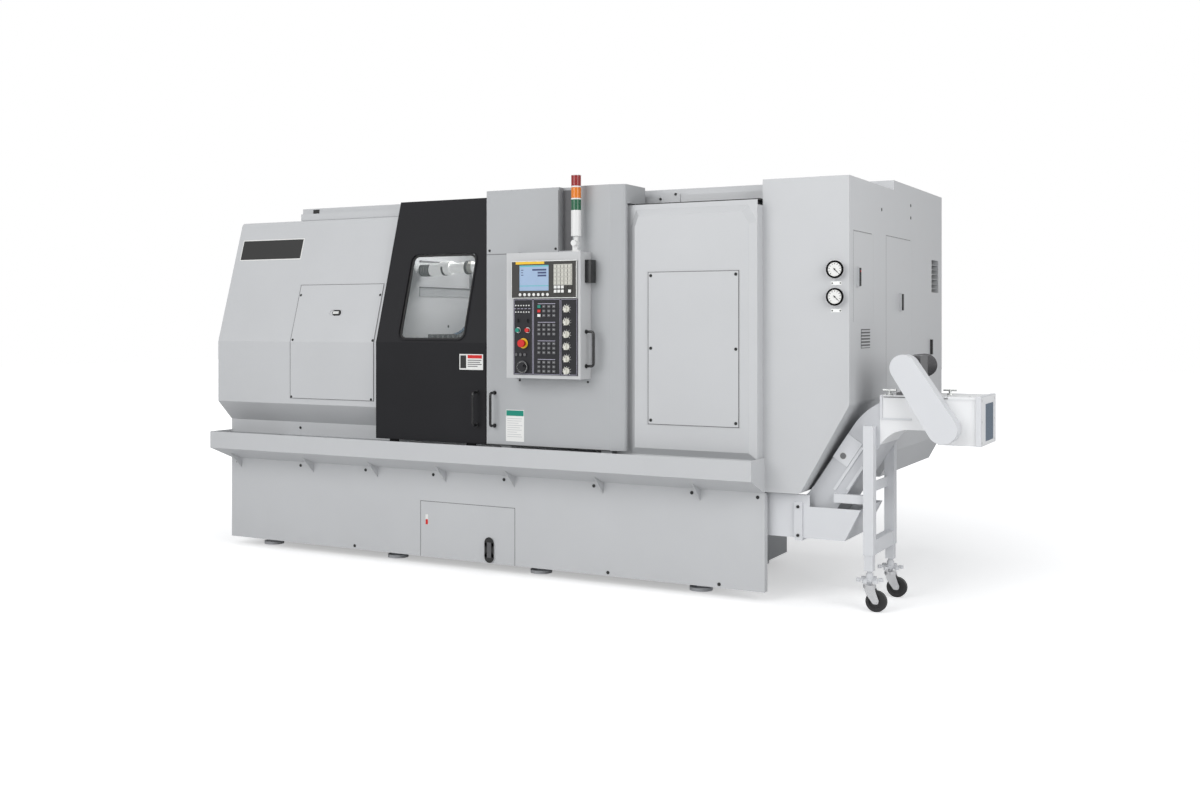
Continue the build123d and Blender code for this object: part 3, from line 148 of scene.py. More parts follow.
# %% [markdown]
# Behind the machine there is nothing but white, as on a catalogue page, while the light on it stays plain.
# One strong white sky would give the background, but it would also wash out the paint.
# So the sky asks what kind of ray has come: a camera, glossy or glass ray meets plain white, any other a mild fill.
# %% White sky with a mild fill
world = bpy.data.worlds.new("white_sweep")
world.use_nodes = True
bpy.context.scene.world = world
sky = world.node_tree
sky.nodes.clear()
ray = new_node(sky, "ShaderNodeLightPath")
camera_or_glossy = new_node(sky, "ShaderNodeMath", "MAXIMUM")
seen = new_node(sky, "ShaderNodeMath", "MAXIMUM")
fill_light = new_node(sky, "ShaderNodeBackground", Color=(0.95, 0.97, 1.0, 1), Strength=0.4)
white_light = new_node(sky, "ShaderNodeBackground", Color=(1, 1, 1, 1), Strength=1.0)
choose = new_node(sky, "ShaderNodeMixShader")
sky_out = new_node(sky, "ShaderNodeOutputWorld")
wire(
    sky,
    (ray.outputs["Is Camera Ray"], camera_or_glossy.inputs[0]),
    (ray.outputs["Is Glossy Ray"], camera_or_glossy.inputs[1]),
    (camera_or_glossy.outputs[0], seen.inputs[0]),
    (ray.outputs["Is Transmission Ray"], seen.inputs[1]),
    (seen.outputs[0], choose.inputs[0]),
    (fill_light.outputs[0], choose.inputs[1]),
    (white_light.outputs[0], choose.inputs[2]),
    (choose.outputs[0], sky_out.inputs[0]),
)
bpy.context.scene.view_settings.view_transform = "Standard"
print("sky nodes", len(sky.nodes))


# %% [markdown]
# The floor is a white sweep that keeps the machine's soft shadow.
# Painted white and lit by the lamps alone, it would still come out pale grey.
# A little glow, which only the camera sees, lifts it to white, and the glow grows with the distance from the machine.
# Near the machine it is weak, so the shadow stays.
# %% Floor
FLOOR_HALF = 30.0
FADE_NEAR, FADE_FAR = 1.9, 6.0
GLOW_NEAR, GLOW_FAR = 0.42, 1.0
floor_mesh = bpy.data.meshes.new("floor")
floor_corners = [(x * FLOOR_HALF, y * FLOOR_HALF, 0) for x, y in ((-1, -1), (1, -1), (1, 1), (-1, 1))]
floor_mesh.from_pydata(floor_corners, [], [(0, 1, 2, 3)])
floor = bpy.data.objects.new("floor", floor_mesh)
bpy.context.scene.collection.objects.link(floor)

floor_finish = bpy.data.materials.new("white_floor")
floor_finish.use_nodes = True
floor_tree = floor_finish.node_tree
floor_shader = floor_tree.nodes["Principled BSDF"]
floor_shader.inputs["Base Color"].default_value = (0.86, 0.86, 0.86, 1)
floor_shader.inputs["Roughness"].default_value = 0.9
floor_shader.inputs["Specular IOR Level"].default_value = 0.0
floor_shader.inputs["Emission Color"].default_value = (1, 1, 1, 1)
floor_ray = new_node(floor_tree, "ShaderNodeLightPath")
floor_place = new_node(floor_tree, "ShaderNodeTexCoord")
distance = new_node(floor_tree, "ShaderNodeVectorMath", "LENGTH")
fade = new_node(
    floor_tree, "ShaderNodeMapRange", From_Min=FADE_NEAR, From_Max=FADE_FAR, To_Min=GLOW_NEAR, To_Max=GLOW_FAR)
camera_glow = new_node(floor_tree, "ShaderNodeMath", "MULTIPLY")
wire(
    floor_tree,
    (floor_place.outputs["Object"], distance.inputs[0]),
    (distance.outputs["Value"], fade.inputs["Value"]),
    (floor_ray.outputs["Is Camera Ray"], camera_glow.inputs[0]),
    (fade.outputs["Result"], camera_glow.inputs[1]),
    (camera_glow.outputs[0], floor_shader.inputs["Emission Strength"]),
)
floor_mesh.materials.append(floor_finish)
print("floor", FLOOR_HALF * 2, "m wide")


# %% [markdown]
# Powder paint is never one flat colour: it has faint clouds, a fine orange peel and an uneven gloss.
# A photograph of paint could be wrapped round the parts, but it would need unwrapping and would show its repeats.
# Here each finish is a Principled shader fed by noise in the object's own space, so it sits still on the part.
# The same recipe serves paint, plastic and steel, because they differ in numbers and not in kind.
# %% One recipe for paint, plastic and metal
GLOSS_SPREAD = 0.05
PEEL_DEPTH = 0.0004


def finish(name, colour, roughness, metallic=0.0, cloud=0.04, cloud_size=2.5, peel=0.0, peel_size=500.0,
           brushed=(1, 1, 1), alpha=1.0, glow=None, shine=0.5):
    """Clouded colour, uneven gloss and a fine bump, which is drawn out along an axis where a surface is brushed."""
    material = bpy.data.materials.new(name)
    material.use_nodes = True
    tree = material.node_tree
    shader = tree.nodes["Principled BSDF"]
    shader.inputs["Metallic"].default_value = metallic
    shader.inputs["Alpha"].default_value = alpha
    shader.inputs["Specular IOR Level"].default_value = shine
    place = new_node(tree, "ShaderNodeTexCoord")
    clouds = new_node(tree, "ShaderNodeTexNoise", Scale=cloud_size, Detail=3.0)
    tint = new_node(tree, "ShaderNodeMix")
    tint.data_type = "RGBA"
    tint.inputs["A"].default_value = (*[c * (1 - cloud) for c in colour], 1)
    tint.inputs["B"].default_value = (*[min(1.0, c * (1 + cloud)) for c in colour], 1)
    gloss = new_node(
        tree, "ShaderNodeMapRange",
        To_Min=max(0.0, roughness - GLOSS_SPREAD), To_Max=min(1.0, roughness + GLOSS_SPREAD))
    wire(
        tree,
        (place.outputs["Object"], clouds.inputs["Vector"]),
        (clouds.outputs["Fac"], tint.inputs["Factor"]),
        (tint.outputs["Result"], shader.inputs["Base Color"]),
        (clouds.outputs["Fac"], gloss.inputs["Value"]),
        (gloss.outputs["Result"], shader.inputs["Roughness"]),
    )
    if peel:
        stretch = new_node(tree, "ShaderNodeMapping", Scale=brushed)
        grain = new_node(tree, "ShaderNodeTexNoise", Scale=peel_size)
        bump = new_node(tree, "ShaderNodeBump", Strength=peel, Distance=PEEL_DEPTH)
        wire(
            tree,
            (place.outputs["Object"], stretch.inputs["Vector"]),
            (stretch.outputs["Vector"], grain.inputs["Vector"]),
            (grain.outputs["Fac"], bump.inputs["Height"]),
            (bump.outputs["Normal"], shader.inputs["Normal"]),
        )
    if glow:
        shader.inputs["Emission Color"].default_value = (*glow[0], 1)
        shader.inputs["Emission Strength"].default_value = glow[1]
    return material


print("finish recipe ready")


# %% [markdown]
# The sheet metal is painted light grey, the sliding door with the controls a step darker, and the
# conveyor almost white.
# How light each grey is was set under the lamps above, since paint and light work together.
# The trough and head are copies of the conveyor's white paint: the trough's darker copy is painted shade, and the
# head's lighter copy is painted light.
# %% Paints
machine_grey = finish("machine_grey", (0.56, 0.568, 0.578), 0.42, peel=0.12)
door_grey = finish("door_grey", (0.43, 0.44, 0.45), 0.42, peel=0.12)
panel_grey = finish("panel_grey", (0.55, 0.555, 0.56), 0.42, peel=0.15)
conveyor_white = finish("conveyor_white", (0.68, 0.69, 0.71), 0.4, peel=0.1)
# Painted shade on the trough and painted light on the head, as darker and lighter copies of one white.
shaded_trough_white = finish("shaded_trough_white", (0.57, 0.58, 0.6), 0.4, peel=0.1)
lit_head_white = finish("lit_head_white", (0.82, 0.825, 0.83), 0.4, peel=0.1)
door_black = finish("door_black", (0.016, 0.016, 0.018), 0.5, cloud=0.15, peel=0.35, peel_size=700, shine=0.14)
print(len(bpy.data.materials), "materials with the paints")


# %% [markdown]
# Handles, wheels, knobs and the operator panel are moulded plastic or rubber.
# Plastic takes its colour all the way through, so it has hardly any bump, and its gloss tells the pieces apart.
# The handles are smooth and catch a streak of light, and the panel is matt so that it can be read.
# %% Plastics and rubber
handle_black = finish("handle_black", (0.014, 0.014, 0.015), 0.26, cloud=0.1)
panel_black = finish("panel_black", (0.022, 0.022, 0.025), 0.55, cloud=0.1, shine=0.25)
unit_grey = finish("unit_grey", (0.048, 0.046, 0.043), 0.5, cloud=0.1, shine=0.3)
wheel_black = finish("wheel_black", (0.02, 0.02, 0.021), 0.6, cloud=0.2)
knob_cream = finish("knob_cream", (0.72, 0.71, 0.64), 0.4)
tower_white = finish("tower_white", (0.78, 0.78, 0.77), 0.35)
stop_red = finish("stop_red", (0.62, 0.012, 0.01), 0.3)
start_green = finish("start_green", (0.0, 0.24, 0.17), 0.3)
print(len(bpy.data.materials), "materials with the plastics")


# %% [markdown]
# Castings are rough and dull, guideways are ground along their length, and spindles and quills are turned.
# A ground or turned surface is full of fine parallel scratches.
# They could be drawn as thousands of lines, but noise that is squeezed across them gives the same streaked gloss.
# %% Castings and steels
casting_grey = finish("casting_grey", (0.36, 0.37, 0.38), 0.5, cloud=0.08, peel=0.3, peel_size=220)
bright_steel = finish(
    "bright_steel", (0.72, 0.72, 0.73), 0.28, metallic=0.9, peel=0.1, peel_size=60, brushed=(1, 12, 1))
ground_steel = finish(
    "ground_steel", (0.45, 0.45, 0.46), 0.34, metallic=0.9, peel=0.3, peel_size=90, brushed=(1, 20, 20))
dark_steel = finish("dark_steel", (0.13, 0.13, 0.135), 0.42, metallic=0.7, peel=0.2, peel_size=90)
zinc = finish("zinc", (0.62, 0.63, 0.62), 0.35, metallic=0.75, cloud=0.1, cloud_size=30)
print(len(bpy.data.materials), "materials with the metals")


# %% [markdown]
# The door's window is clear sheet, and the work lamp behind it is a white tube that looks bright.
# Real glass bends light and is slow to render, while a thin flat pane hardly bends it at all.
# So the pane is seen through by its alpha and keeps a faint mirror, and the lamp's tube has a weak glow, which is
# painted light.
# %% Glass and lamp tube
window_glass = finish("window_glass", (0.55, 0.6, 0.6), 0.06, alpha=0.09, cloud=0.02, shine=0.3)
lamp_tube_painted_light = finish("lamp_tube_painted_light", (0.8, 0.8, 0.79), 0.25, glow=((0.9, 0.92, 0.92), 0.3))
print(len(bpy.data.materials), "materials with the glass and lamp tube")


# %% [markdown]
# A signal tower stacks three lenses round one pole: green below, amber, and red on top.
# They could be three materials on three pieces, but the CAD has one part for all of them.
# So its colour changes with height: the object's own Z runs through a colour ramp of three hard steps.
# %% Finish: the three lenses
GREEN_LENS, AMBER_LENS, RED_LENS = (0.0, 0.1, 0.04, 1), (0.72, 0.19, 0.002, 1), (0.27, 0.0, 0.0, 1)
lens_low, lens_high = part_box("tower_lenses")
tower_lens = finish("tower_lens", (0.5, 0.5, 0.5), 0.18)
lens_tree = tower_lens.node_tree
lens_place = new_node(lens_tree, "ShaderNodeTexCoord")
lens_split = new_node(lens_tree, "ShaderNodeSeparateXYZ")
lens_height = new_node(lens_tree, "ShaderNodeMapRange", From_Min=lens_low.z, From_Max=lens_high.z)
lens_ramp = new_node(lens_tree, "ShaderNodeValToRGB")
steps = lens_ramp.color_ramp
steps.interpolation = "CONSTANT"
steps.elements[0].color = GREEN_LENS
steps.elements[1].position = 0.67
steps.elements[1].color = RED_LENS
steps.elements.new(0.33).color = AMBER_LENS
wire(
    lens_tree,
    (lens_place.outputs["Object"], lens_split.inputs["Vector"]),
    (lens_split.outputs["Z"], lens_height.inputs["Value"]),
    (lens_height.outputs["Result"], lens_ramp.inputs["Fac"]),
    (lens_ramp.outputs["Color"], lens_tree.nodes["Principled BSDF"].inputs["Base Color"]),
)
print("lens ramp", len(steps.elements), "steps")


# %% [markdown]
# Each CAD part says in its record what it is made of, so paint, castings, steel and plastic are told
# apart everywhere.
# The parts could be dressed by hand one after another, but sixty of them would invite mistakes.
# Two tables do it: one by kind of material, and a short one for the few parts that differ.
# %% Dress the CAD parts
slot_finish = dict(
    machine_grey=machine_grey, casting_grey=casting_grey, conveyor_white=conveyor_white, panel_grey=panel_grey,
    door_black=door_black, window_glass=window_glass, handle_black=handle_black, panel_black=panel_black,
    bright_steel=bright_steel, ground_steel=ground_steel, dark_steel=dark_steel, stop_red=stop_red,
    start_green=start_green, tower_white=tower_white, tower_lens=tower_lens, wheel_black=wheel_black)
# The levelling feet take the pale conveyor paint, which is painted light, so they show less dark in the shade under
# the skirt.
node_finish = {
    "grey_door": door_grey, "levelling_feet": conveyor_white, "display_unit": unit_grey,
    "conveyor_head": lit_head_white, "conveyor_trough": shaded_trough_white, "work_lamp": lamp_tube_painted_light,
}
node_finish.update({f"rotary_knob_{number}": knob_cream for number in range(1, 7)})
for part in frame["record"]["subparts"]:
    mesh = frame["nodes"][part["node"]].data
    mesh.materials.clear()
    mesh.materials.append(node_finish.get(part["node"], slot_finish[part["material_slot"]]))


# %% [markdown]
# Seams, screws, key caps and labels are too many and too thin to be worth a drawing each.
# Cubes could be added and scaled one by one, but a list of sizes is quicker to read and to correct.
# These helpers build a whole group as one mesh of flat boxes, in the ruler's millimetres.
# Each piece is told which body of the machine it belongs to, so a label on a door slides with the door.
# %% Helpers: pieces made of boxes
BOX_FACES = ((0, 1, 3, 2), (4, 6, 7, 5), (0, 4, 5, 1), (2, 3, 7, 6), (0, 2, 6, 4), (1, 5, 7, 3))


def piece_from(name, mesh_data, material, body):
    """Turns a finished bmesh into an object that rides on a body."""
    bmesh.ops.recalc_face_normals(mesh_data, faces=mesh_data.faces)
    mesh = bpy.data.meshes.new(name)
    mesh_data.to_mesh(mesh)
    mesh_data.free()
    mesh.materials.append(material)
    thing = bpy.data.objects.new(name, mesh)
    bpy.context.scene.collection.objects.link(thing)
    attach(thing, body)


def add_box(mesh_data, place, x0, x1, y0, y1, z0, z1):
    """Adds one box, its corners sent through a placing function."""
    corner = [mesh_data.verts.new(place(x, y, z)) for x in (x0, x1) for y in (y0, y1) for z in (z0, z1)]
    for face in BOX_FACES:
        mesh_data.faces.new([corner[i] for i in face])


def boxes(name, corners, material, body="machine", place=spot):
    """One piece made of boxes, each given as left, right, front, back, bottom and top."""
    mesh_data = bmesh.new()
    for corner in corners:
        add_box(mesh_data, place, *corner)
    piece_from(name, mesh_data, material, body)


print("box helpers ready")


# %% [markdown]
# Most fittings are thin plates on a face that looks to the front or to the right.
# For those only the outline and two depths matter: the level they lie on, and how far they stand out of it.
# %% Helpers: thin plates
def plates(name, outlines, level, thick, material, body="machine", place=spot):
    """Plates on a front face, each given as left, right, bottom and top, which stand out to the front."""
    boxes(name, [(x0, x1, level - thick, level, z0, z1) for x0, x1, z0, z1 in outlines], material, body, place)


def side_plates(name, outlines, level, thick, material, body="machine"):
    """Plates on a face that looks right, each given as front, back, bottom and top, which stand out to the right."""
    boxes(name, [(level, level + thick, y0, y1, z0, z1) for y0, y1, z0, z1 in outlines], material, body)


print("plate helpers ready")


# %% [markdown]
# Screws, rings, bolts and round keys are all discs, with or without a hole.
# Blender has a cylinder tool, but a ring needs a hole cut in it afterwards.
# A disc that is drawn as four loops of points, outside and inside, gives both with one helper.
# %% Helper: discs and rings
SMALLEST_HOLE = 0.01


def round_point(axis, centre, radius, angle, along):
    """A point on a circle round an axis, in millimetres."""
    a, b = radius * cos(angle), radius * sin(angle)
    x, y, z = centre
    if axis == "x":
        return (x + along, y + a, z + b)
    if axis == "y":
        return (x + a, y + along, z + b)
    return (x + a, y + b, z + along)


def discs(name, centres, radius, thick, material, body="machine", axis="y", place=spot, hole=0.0, sides=32):
    """One piece made of discs or rings, each growing from its centre along an axis."""
    mesh_data = bmesh.new()
    turns = [2 * pi * i / sides for i in range(sides)]
    inner = max(hole, SMALLEST_HOLE)
    for centre in centres:
        rings = []
        for reach, along in ((radius, 0), (radius, thick), (inner, thick), (inner, 0)):
            rings.append([mesh_data.verts.new(place(*round_point(axis, centre, reach, t, along))) for t in turns])
        for ring, after in zip(rings, rings[1:] + rings[:1]):
            for i in range(sides):
                j = (i + 1) % sides
                mesh_data.faces.new((ring[i], ring[j], after[j], after[i]))
    piece_from(name, mesh_data, material, body)


print("disc helper ready")


# %% [markdown]
# Above a knee the machine's front leans back, so that an operator can look in from above.
# A fitting on that slope could be built flat and then turned, but turning is where small errors come in.
# A placing function does it instead: it takes a place on the flat slope and gives the place in the room.
# %% The leaning front
LEAN = radians(16)
KNEE_Z = 1263.0


def lean_place(face_y):
    """A placing function for the slope above the knee: X, then out of the face as -Y, then up the slope as Z."""
    def place(x, y, z):
        return spot(x, face_y + z * sin(LEAN) + y * cos(LEAN), KNEE_Z + z * cos(LEAN) - y * sin(LEAN))
    return place


def up_slope(height):
    """How far up the slope a place lies that is so high above the knee."""
    return height / cos(LEAN)


COVER_FACE, BLACK_DOOR_SLOPE = -115, -154.8
on_cover = lean_place(COVER_FACE)
on_door = lean_place(BLACK_DOOR_SLOPE)
print("slope leans", round(LEAN * 180 / pi), "degrees")


# %% [markdown]
# The skirt is bolted on with socket screws along its top and bottom edges.
# Painted dots would do from afar, but real heads, which stand two millimetres out, also catch the light.
# %% Skirt: screws
SCREW_HEAD = -2
ink_black = finish("ink_black", (0.01, 0.01, 0.01), 0.6, cloud=0.1)
skirt_screws = [(x, 0, 517) for x in (47, 557, 1050, 1532, 2005, 2565, 3129, 3484)]
skirt_screws += [(x, 0, 68) for x in (969, 2649, 3278)]
discs("skirt_screws", skirt_screws, 9, SCREW_HEAD, ink_black)
print("skirt screws", len(skirt_screws))


# %% [markdown]
# A service panel in the skirt has an oval sight glass, which shows a liquid's level from outside.
# An oval is two discs with a box between them, which is simpler than bending a curve.
# A dark line a few millimetres wide stands for the gap round the panel, because a true gap would show
# nothing behind it.
# %% Skirt: sight glass, strip and seams
key_grey = finish("key_grey", (0.10, 0.10, 0.105), 0.5, cloud=0.1)
label_white = finish("label_white", (0.82, 0.82, 0.8), 0.5, cloud=0.02)
seam_grey = finish("seam_grey", (0.16, 0.16, 0.165), 0.6, cloud=0.2)
SEAM = 0.6
SIGHT_X, SIGHT_Z = 1913, 124
discs("sight_rim_ends", [(SIGHT_X, -8, SIGHT_Z + side * 39.5) for side in (-1, 1)], 31, -1, ink_black)
plates("sight_rim", [(1882, 1944, 84.5, 163.5)], -8, 1, ink_black)
plates("sight_glass", [(1899, 1927, 82, 166)], -9, 1, key_grey)
plates("service_strip", [(1478, 1496, 232, 290)], 0, 1, label_white)
plates("service_strip_end", [(1479, 1495, 233, 262)], -1, 0.5, stop_red)
service_seams = [(1442, 1445, 50, 365), (2073, 2076, 50, 365), (1442, 2076, 363, 366)]
plates("service_seams", service_seams, 0, SEAM, seam_grey)
print("service panel", 2076 - 1442, "mm wide")


# %% [markdown]
# The headstock cover has an access plate that follows the knee from the slope down to the front.
# Its screws are sunk almost flush, because the black door slides over them with little room.
# %% Cover: screws
FLUSH_HEAD = -0.4
high_screws = [(593, up_slope(277)), (1187, up_slope(273)), (596, 12), (1191, 12)]
discs("cover_screws_high", [(x, -2.9, z) for x, z in high_screws], 8, FLUSH_HEAD, ink_black, place=on_cover)
discs("cover_screws_low", [(588, -117.9, 938), (1182, -117.9, 938), (557, -3.4, 745)], 8, FLUSH_HEAD, ink_black)
print("cover screws", len(high_screws) + 3)


# %% [markdown]
# The plate lifts off by an oval finger pull with a small latch in it.
# Higher up the slope lies a long plate of black enamel with a pale border: a thin plate on a slightly larger one.
# Stacked plates give a crisp border from every side, where a painted one would need an image.
# %% Cover: finger pull and enamel plate
pull_up = up_slope(171)
discs("pull_cup", [(875, -1, pull_up), (905, -1, pull_up)], 17, -1.4, ink_black, place=on_cover)
plates("pull_cup_middle", [(872, 908, pull_up - 17, pull_up + 17)], -1, 1.4, ink_black, place=on_cover)
plates("pull_latch", [(866, 908, pull_up - 8, pull_up + 8)], -2.4, 4.6, zinc, place=on_cover)
BORDER = 6
plate_left, plate_right, plate_low, plate_high = 40, 533, up_slope(497), up_slope(626)
enamel = (plate_left + BORDER, plate_right - BORDER, plate_low + BORDER, plate_high - BORDER)
plates("plate_border", [(plate_left, plate_right, plate_low, plate_high)], 0, 1.5, label_white, place=on_cover)
plates("plate_field", [enamel], -1.5, 0.7, ink_black, place=on_cover)
print("enamel plate", plate_right - plate_left, "mm wide")


# %% [markdown]
# The access plate is three millimetres thick, and its edge shows as a fine dark line on the slope and on the front.
# Three thin boxes draw it on each face, which is easier to follow than one line bent round the knee.
# %% Cover: edge of the access plate
ACCESS_PLATE = 3
plates("access_seams_high", [(579, 582, 0, 352), (1198, 1201, 0, 352), (579, 1201, 350, 353)],
       -ACCESS_PLATE, SEAM, seam_grey, place=on_cover)
plates("access_seams_low", [(579, 582, 930, 1262), (1198, 1201, 930, 1262), (579, 1201, 929, 932)],
       COVER_FACE - ACCESS_PLATE, SEAM, seam_grey)
print("access plate", 1201 - 579, "mm wide")


# %% [markdown]
# On the roof a long housing hides the rail that the doors hang on.
# It has a small vent at its left end, a white tube in two clips lying along it, and a screwed bracket at its right.
# A dark strip under its edge stands for the deep shadow of the rail, which soft lamps alone don't give.
# %% Roof: vent, tube and rail
HOUSING_FACE, BRACKET_FACE = 165, 125
plates("roof_vent", [(514, 561, 2031, 2070)], HOUSING_FACE, 2, ink_black)
discs("roof_tube", [(992, 150, 2024)], 17, 163, label_white, axis="x")
plates("roof_tube_clips", [(1010, 1022, 2004, 2044), (1125, 1137, 2004, 2044)], HOUSING_FACE, 15, zinc)
plates("rail_bracket", [(2900, 3009, 1992, 2052)], BRACKET_FACE, 7, machine_grey)
plates("rail_shadow", [(2822, 3504, 1981, 1990)], 40, 60, ink_black)
rail_screws = [(2898, 118, 2024), (2985, 118, 2046), (2950, 118, 1998)]
discs("rail_screws", rail_screws, 7, -3, ink_black)
print("rail screws", len(rail_screws))


# %% [markdown]
# The right panel has a large cover plate that six screws hold.
# Only its edge shows, so four thin lines are enough to draw it.
# %% Right panel: plate
panel_screws = [(x, -101, z) for x in (2947, 3409) for z in (885, 1249, 1616)]
discs("panel_screws", panel_screws, 8, SCREW_HEAD, ink_black)
panel_seams = [(2931, 2934, 864, 1635), (3422, 3425, 864, 1635), (2931, 3425, 864, 867), (2931, 3425, 1632, 1635)]
plates("panel_seams", panel_seams, -98, 3.5, seam_grey)
print("panel screws", len(panel_screws))


# %% [markdown]
# Two pressure gauges look out of the cabinet, as on lathes whose chuck and tailstock clamp by oil.
# A gauge is a black bezel, a white dial with ticks round it, a needle and a small hub.
# Ticks could be an image on the dial, but small boxes stay sharp at any distance.
# A turned placing function lays each box along its own direction, so a tick is written once and used eleven times.
# %% Cabinet: gauges
GAUGE_X = 3884
TICKS, TICK_HALF, NEEDLE_HALF = 11, 0.9, 1.5


def turned(mid_x, mid_z, angle):
    """A placing function round a dial's centre: X runs outwards along the angle."""
    ux, uz = cos(angle), sin(angle)

    def place(x, y, z):
        return spot(mid_x + x * ux - z * uz, y, mid_z + x * uz + z * ux)
    return place


for number, gauge_z in enumerate((1633, 1502), start=1):
    discs(f"gauge_{number}_bezel", [(GAUGE_X, -30, gauge_z)], 42.5, 9, ink_black, hole=34)
    discs(f"gauge_{number}_dial", [(GAUGE_X, -27.6, gauge_z)], 34, 0.6, label_white)
    ticks = bmesh.new()
    for step in range(TICKS):
        on_tick = turned(GAUGE_X, gauge_z, radians(225 - 27 * step))
        add_box(ticks, on_tick, 24, 31, -28.4, -27.6, -TICK_HALF, TICK_HALF)
    add_box(ticks, turned(GAUGE_X, gauge_z, radians(-45)), -8, 22, -29, -28.4, -NEEDLE_HALF, NEEDLE_HALF)
    piece_from(f"gauge_{number}_ticks", ticks, ink_black, "machine")
    discs(f"gauge_{number}_hub", [(GAUGE_X, -29.4, gauge_z)], 4, 1, ink_black)
plates("gauge_plates", [(3858, 3910, 1560, 1576), (3858, 3910, 1428, 1444)], 0, 1.5, zinc)
discs("gauge_plate_screws", [(x, -1.5, z) for x in (3864, 3904) for z in (1568, 1436)], 3.5, -1.5, ink_black)
print("gauge ticks", TICKS)


# %% [markdown]
# The cabinet's right side is a large plain face that is read by its lines.
# Two doors show as fine dark edges on top and on the side away from the hinges.
# They stay off the hinge side, so that the doors swing clear of them.
# %% Cabinet: door edges
SIDE_X = 3947
EDGE_LINE = 0.15
front_door_edge = [(64.5, 67, 1380, 1823), (64.5, 379, 1822, 1825)]
rear_door_edge = [(641.5, 644, 1040, 1832), (641.5, 1135, 1831, 1834)]
side_plates("side_door_edges", front_door_edge + rear_door_edge, SIDE_X, EDGE_LINE, seam_grey)
print("cabinet side at", SIDE_X, "mm")


# %% [markdown]
# The cabinet breathes through two vents: a small louvre in front, and a deep one in the rear box.
# A louvre is drawn as a dark back, which is painted shade for the openings, with slats before it, so the light falls
# between them as it does on the real one.
# %% Cabinet: vents
side_plates("vent_shade_back", [(192, 347, 1252, 1347)], SIDE_X, 0.8, key_grey)
side_plates("vent_louvres", [(194, 345, 1256 + 15.5 * i, 1263 + 15.5 * i) for i in range(6)], SIDE_X, 6, machine_grey)
side_plates("rear_vent_shade_back", [(1626, 1791, 1556, 1745)], 3906, 3, ink_black)
rear_slats = [(1626, 1791, 1575 + 28 * i, 1579 + 28 * i) for i in range(6)]
side_plates("rear_vent_slats", rear_slats, 3908, 36, casting_grey)
print("rear slats", len(rear_slats))


# %% [markdown]
# Black latches close the two cabinet doors, and a third one is on the rear box.
# Each latch rides on its own door, so it swings open with it.
# %% Cabinet: latches and holes
LATCH_FACE = 3961
side_plates("front_latch", [(120, 140, 1556, 1644)], LATCH_FACE, 4, ink_black, "cabinet_door_front")
discs("front_latch_spot", [(LATCH_FACE + 4, 130, 1628)], 5, 1.5, stop_red, "cabinet_door_front", axis="x")
side_plates("rear_latch", [(906, 928, 1444, 1532)], LATCH_FACE, 5, ink_black, "cabinet_door_rear")
side_plates("rear_box_latch", [(1590, 1616, 1190, 1278)], SIDE_X, 11, ink_black)
# The holes are dark discs, which are painted shade.
side_holes = [(SIDE_X, 1145, 2028), (SIDE_X, 1145, 1959), (SIDE_X, 560, 1960)]
discs("side_holes", side_holes, 9, 1, ink_black, axis="x")
print("side holes", len(side_holes))


# %% [markdown]
# The black door's window is held by a black frame with a rubber seal inside it, both with round corners.
# A bevelled rectangle would do, but the door leans, and the frame has to lie on the slope.
# So the ring is drawn point by point: each corner is a quarter circle of nine points, sent through
# the slope's function.
# %% Black door: window frame
WINDOW_MID_X, WINDOW_MID_UP = 1616.5, 271.5
CORNER_STEPS = 8
QUARTERS = ((1, 1, 0), (-1, 1, 90), (-1, -1, 180), (1, -1, 270))


def rounded_ring(name, half_wide, half_high, corner, width, out, thick, material, body):
    """A frame with round corners on the leaning door."""
    mesh_data = bmesh.new()
    loops = []
    for grow, level in ((0, out), (0, out - thick), (width, out - thick), (width, out)):
        loop = []
        for side_x, side_z, start in QUARTERS:
            for step in range(CORNER_STEPS + 1):
                turn = radians(start + step * 90 / CORNER_STEPS)
                x = side_x * (half_wide - corner) + (corner + grow) * cos(turn)
                z = side_z * (half_high - corner) + (corner + grow) * sin(turn)
                loop.append(mesh_data.verts.new(on_door(WINDOW_MID_X + x, level, WINDOW_MID_UP + z)))
        loops.append(loop)
    for loop, after in zip(loops, loops[1:] + loops[:1]):
        for i in range(len(loop)):
            j = (i + 1) % len(loop)
            mesh_data.faces.new((loop[i], loop[j], after[j], after[i]))
    piece_from(name, mesh_data, material, body)


rounded_ring("window_frame", 221.5, 249.5, 42, 5, 0, 2.5, door_black, "black_door")
rounded_ring("window_seal", 209, 237, 36, 12, 10, 1.5, ink_black, "black_door")
print("window", 2 * 221.5, "by", 2 * 249.5, "mm")


# %% [markdown]
# A small white card is stuck on the black door.
# It carries a dark block, a red bar and four short lines, which read as a notice from where the camera stands.
# Each mark is a plate less than a millimetre thick, so it moves with the door and needs no image.
# %% Black door: card
DOOR_FACE = -150
CARD = 1.2
CARD_FACE = DOOR_FACE - CARD
PRINT = 0.8
plates("door_card", [(1814, 1967, 1122, 1207)], DOOR_FACE, CARD, label_white, "black_door")
plates("door_card_bar", [(1868, 1960, 1184, 1202)], CARD_FACE, PRINT, stop_red, "black_door")
plates("door_card_block", [(1820, 1858, 1130, 1200)], CARD_FACE, PRINT, ink_black, "black_door")
card_lines = [(1868, 1868 + wide, z, z + 4) for wide, z in ((88, 1172), (80, 1161), (90, 1150), (64, 1139))]
plates("door_card_lines", card_lines, CARD_FACE, PRINT, key_grey, "black_door")
print("card lines", len(card_lines))
